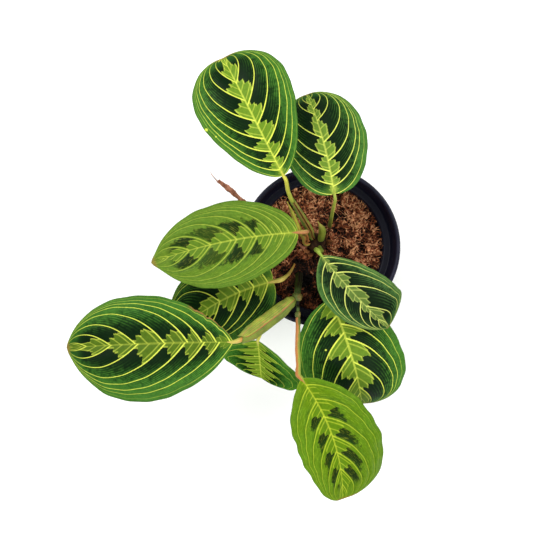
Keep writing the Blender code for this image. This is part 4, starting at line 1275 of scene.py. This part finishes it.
class PRAYERPLANT_OT_soil(bpy.types.Operator):
    """Make the coir: a lumpy bed, matted fibres and crumbs of bark"""
    bl_idname = "prayer_plant.soil"
    bl_label = "Coir"

    def execute(self, context):
        look = settings(context, "plant_soil")
        rng = np.random.default_rng(SEED + 1)
        finish = coir_finish(look)
        top = SOIL_LEVEL / MM
        profile = [(0, 2.4), (36, 2.4), (38.6, 5), (47.4, 72), (48.6, top)]
        profile += [(radius, top) for radius in np.linspace(47.8, 0, 60)]
        shell = turned(profile, 150)
        for vertex in shell.verts:
            if vertex.co.z > SOIL_LEVEL - MM:
                radius = vertex.co.xy.length
                level = soil_height(vertex.co.x, vertex.co.y, look.lump) - SOIL_LEVEL
                vertex.co.z += level * min(1, (SOIL_RADIUS - radius) / (3 * MM))
        bed = add_object("coir_bed", shell, finish)
        # painted shade: the bed is darker the lower it lies, so its hollows look shaded
        heights = [(vertex.co.z - SOIL_LEVEL) / look.lump for vertex in bed.data.vertices]
        shades = bed.data.attributes.new("tint", "FLOAT", "POINT")
        shades.data.foreach_set("value", [max(0, 0.12 + 1.2 * height) for height in heights])
        finish_piece(bed, "coir_soil", "potting_soil")

        def lie_down(reach, thickness, lift, steep):
            """A random place for a fibre or crumb, and the share of light left on it there: the coir
            under the plant's middle gets painted shade.
            """
            while True:
                radius = SOIL_RADIUS * sqrt(rng.uniform()) - reach * 0.3
                turn = rng.uniform(0, tau)
                x, y = radius * cos(turn), radius * sin(turn)
                if radius > 0 and (Vector((x, y)) - Vector(CROWN.centre[:2]) * MM).length > 5 * MM:
                    break
            z = soil_height(x, y, look.lump) + rng.uniform(*lift) * MM
            inward = atan2(-y, -x) if radius > SOIL_RADIUS - reach * 0.6 else rng.uniform(0, tau)
            turned_by = inward + rng.uniform(-0.6, 0.6)
            tilt = rng.normal(0, steep)
            matrix = (Matrix.Translation((x, y, z)) @ Matrix.Rotation(turned_by, 4, "Z")
                      @ Matrix.Rotation(tilt, 4, "Y") @ Matrix.Rotation(rng.uniform(0, tau), 4, "X")
                      @ Matrix.Diagonal((reach, thickness, thickness, 1)))
            # painted shade of the leaves: pieces near its middle keep little light
            aside = (Vector((x, y)) - Vector(PLANT_SHADE_PLACE)).length / PLANT_SHADE_SPREAD
            return matrix, 1 - PLANT_SHADE_DARKNESS * exp(-aside ** 2)

        def painted_light_at(matrix):
            """Painted light and shade: a fibre is paler the higher it lies and darker down in the
            gaps.
            """
            return 0.4 + (matrix.translation.z - SOIL_LEVEL) / look.lump * 2.2

        # dry below is how much light a piece keeps under the painted shade of the leaves, not how dry
        # the coir is
        spots = []
        for _ in range(look.fibres):
            reach = rng.uniform(3, 11) * MM
            thick = rng.uniform(5, 13) * MM
            matrix, dry = lie_down(reach, thick, (-0.4, 2.2), 0.3)
            tint = painted_light_at(matrix) + rng.uniform(-0.3, 0.3) + 0.4 * (rng.uniform() > 0.9)
            spots.append((matrix, float(np.clip(tint, 0.02, 1)) * dry))
        for _ in range(look.strands):
            reach = rng.uniform(7, 14) * MM
            matrix, dry = lie_down(reach, rng.uniform(4, 7) * MM, (0.8, 2.2), 0.12)
            spots.append((matrix, rng.uniform(1.2, 2.2) * dry))
        fibres = scatter(context, "coir_fibres", fibre_shapes(rng), spots, finish)
        finish_piece(fibres, "coir_soil", "potting_soil")
        spots = []
        for _ in range(look.crumbs):
            size = rng.uniform(0.5, 1.8) * MM
            matrix, dry = lie_down(size, size * rng.uniform(0.4, 1), (-0.3, 1.0), 0.5)
            tint = painted_light_at(matrix) + rng.uniform(-0.25, 0.25)
            spots.append((matrix, float(np.clip(tint, 0.02, 1)) * dry))
        crumbs = scatter(context, "coir_crumbs", crumb_shapes(rng), spots, finish)
        finish_piece(crumbs, "coir_soil", "potting_soil")
        shell = new_shell()
        for route, thick in LONG_FIBRES:
            tube(shell, [(x, y, soil_height(x * MM, y * MM, look.lump) / MM + rise + 1)
                         for x, y, rise in route], [thick] * (len(route) - 1) + [thick / 3], 8, 6)
        close_up(shell)
        strands = add_object("long_fibres", shell, finish)
        shades = strands.data.attributes.new("tint", "FLOAT", "POINT")
        shades.data.foreach_set("value", [LONG_FIBRE_TINT] * len(strands.data.vertices))
        finish_piece(strands, "coir_soil", "potting_soil")
        return {"FINISHED"}


# ---------------------------------------------------------------- stage
class PRAYERPLANT_OT_stage(bpy.types.Operator):
    """Make the floor, the soft light and the camera that looks straight down"""
    bl_idname = "prayer_plant.stage"
    bl_label = "Stage"

    def execute(self, context):
        look = settings(context, "plant_stage")
        shell = bmesh.new()
        bmesh.ops.create_grid(shell, x_segments=1, y_segments=1, size=4)
        graph = Graph("floor")
        floor = add_object("floor", shell, graph.done(look.floor, 0.9, 0.1))
        floor.location.z = -0.0005
        for place, share in (((-1.0, 0.8, 1.4), 1.0), ((1.2, 0.5, 1.2), 0.7), ((0.1, -1.4, 1.2), 0.6)):
            light = bpy.data.lights.new("soft_box", "AREA")
            light.shape, light.size, light.energy = "DISK", 1.2, look.key * share
            lamp = bpy.data.objects.new("soft_box", light)
            lamp.location = place
            lamp.rotation_euler = (-lamp.location).to_track_quat("-Z", "Y").to_euler()
            context.scene.collection.objects.link(lamp)
        world = bpy.data.worlds.new("studio")
        world.use_nodes = True
        world.node_tree.nodes["Background"].inputs["Color"].default_value = (1, 1, 1, 1)
        world.node_tree.nodes["Background"].inputs["Strength"].default_value = look.fill
        context.scene.world = world
        context.scene.view_settings.view_transform = "Standard"
        camera = bpy.data.cameras.new("camera")
        camera.lens = look.lens
        viewer = bpy.data.objects.new("camera", camera)
        viewer.location = (-0.0406, -0.015, look.camera_height)
        context.scene.collection.objects.link(viewer)
        context.scene.camera = viewer
        return {"FINISHED"}


class PRAYERPLANT_PT_panel(bpy.types.Panel):
    """Lists the pieces of the plant in the order they are made"""
    bl_label = "Prayer Plant"
    bl_idname = "PRAYERPLANT_PT_panel"
    bl_space_type = "VIEW_3D"
    bl_region_type = "UI"
    bl_category = "Prayer Plant"

    def draw(self, context):
        for operator in OPERATORS:
            self.layout.operator(operator.bl_idname)


GROUPS = {
    "plant_leaves": PlantLeafSettings,
    "plant_stalks": PlantStalkSettings,
    "plant_pot": PlantPotSettings,
    "plant_soil": PlantSoilSettings,
    "plant_stage": PlantStageSettings,
}
OPERATORS = (PRAYERPLANT_OT_stage, PRAYERPLANT_OT_pot, PRAYERPLANT_OT_soil,
             PRAYERPLANT_OT_dry_parts, PRAYERPLANT_OT_sheaths, PRAYERPLANT_OT_stalks,
             PRAYERPLANT_OT_leaves)


def register():
    for group in GROUPS.values():
        bpy.utils.register_class(group)
    for name, group in GROUPS.items():
        setattr(bpy.types.Scene, name, PointerProperty(type=group))
    for operator in OPERATORS:
        bpy.utils.register_class(operator)
    bpy.utils.register_class(PRAYERPLANT_PT_panel)


def unregister():
    bpy.utils.unregister_class(PRAYERPLANT_PT_panel)
    for operator in reversed(OPERATORS):
        bpy.utils.unregister_class(operator)
    for name, group in GROUPS.items():
        delattr(bpy.types.Scene, name)
        bpy.utils.unregister_class(group)


def main():
    register()
    bpy.ops.prayer_plant.stage()
    bpy.ops.prayer_plant.pot()
    bpy.ops.prayer_plant.soil()
    bpy.ops.prayer_plant.dry_parts()
    bpy.ops.prayer_plant.sheaths()
    bpy.ops.prayer_plant.stalks()
    bpy.ops.prayer_plant.leaves()


if __name__ == "__main__":
    main()
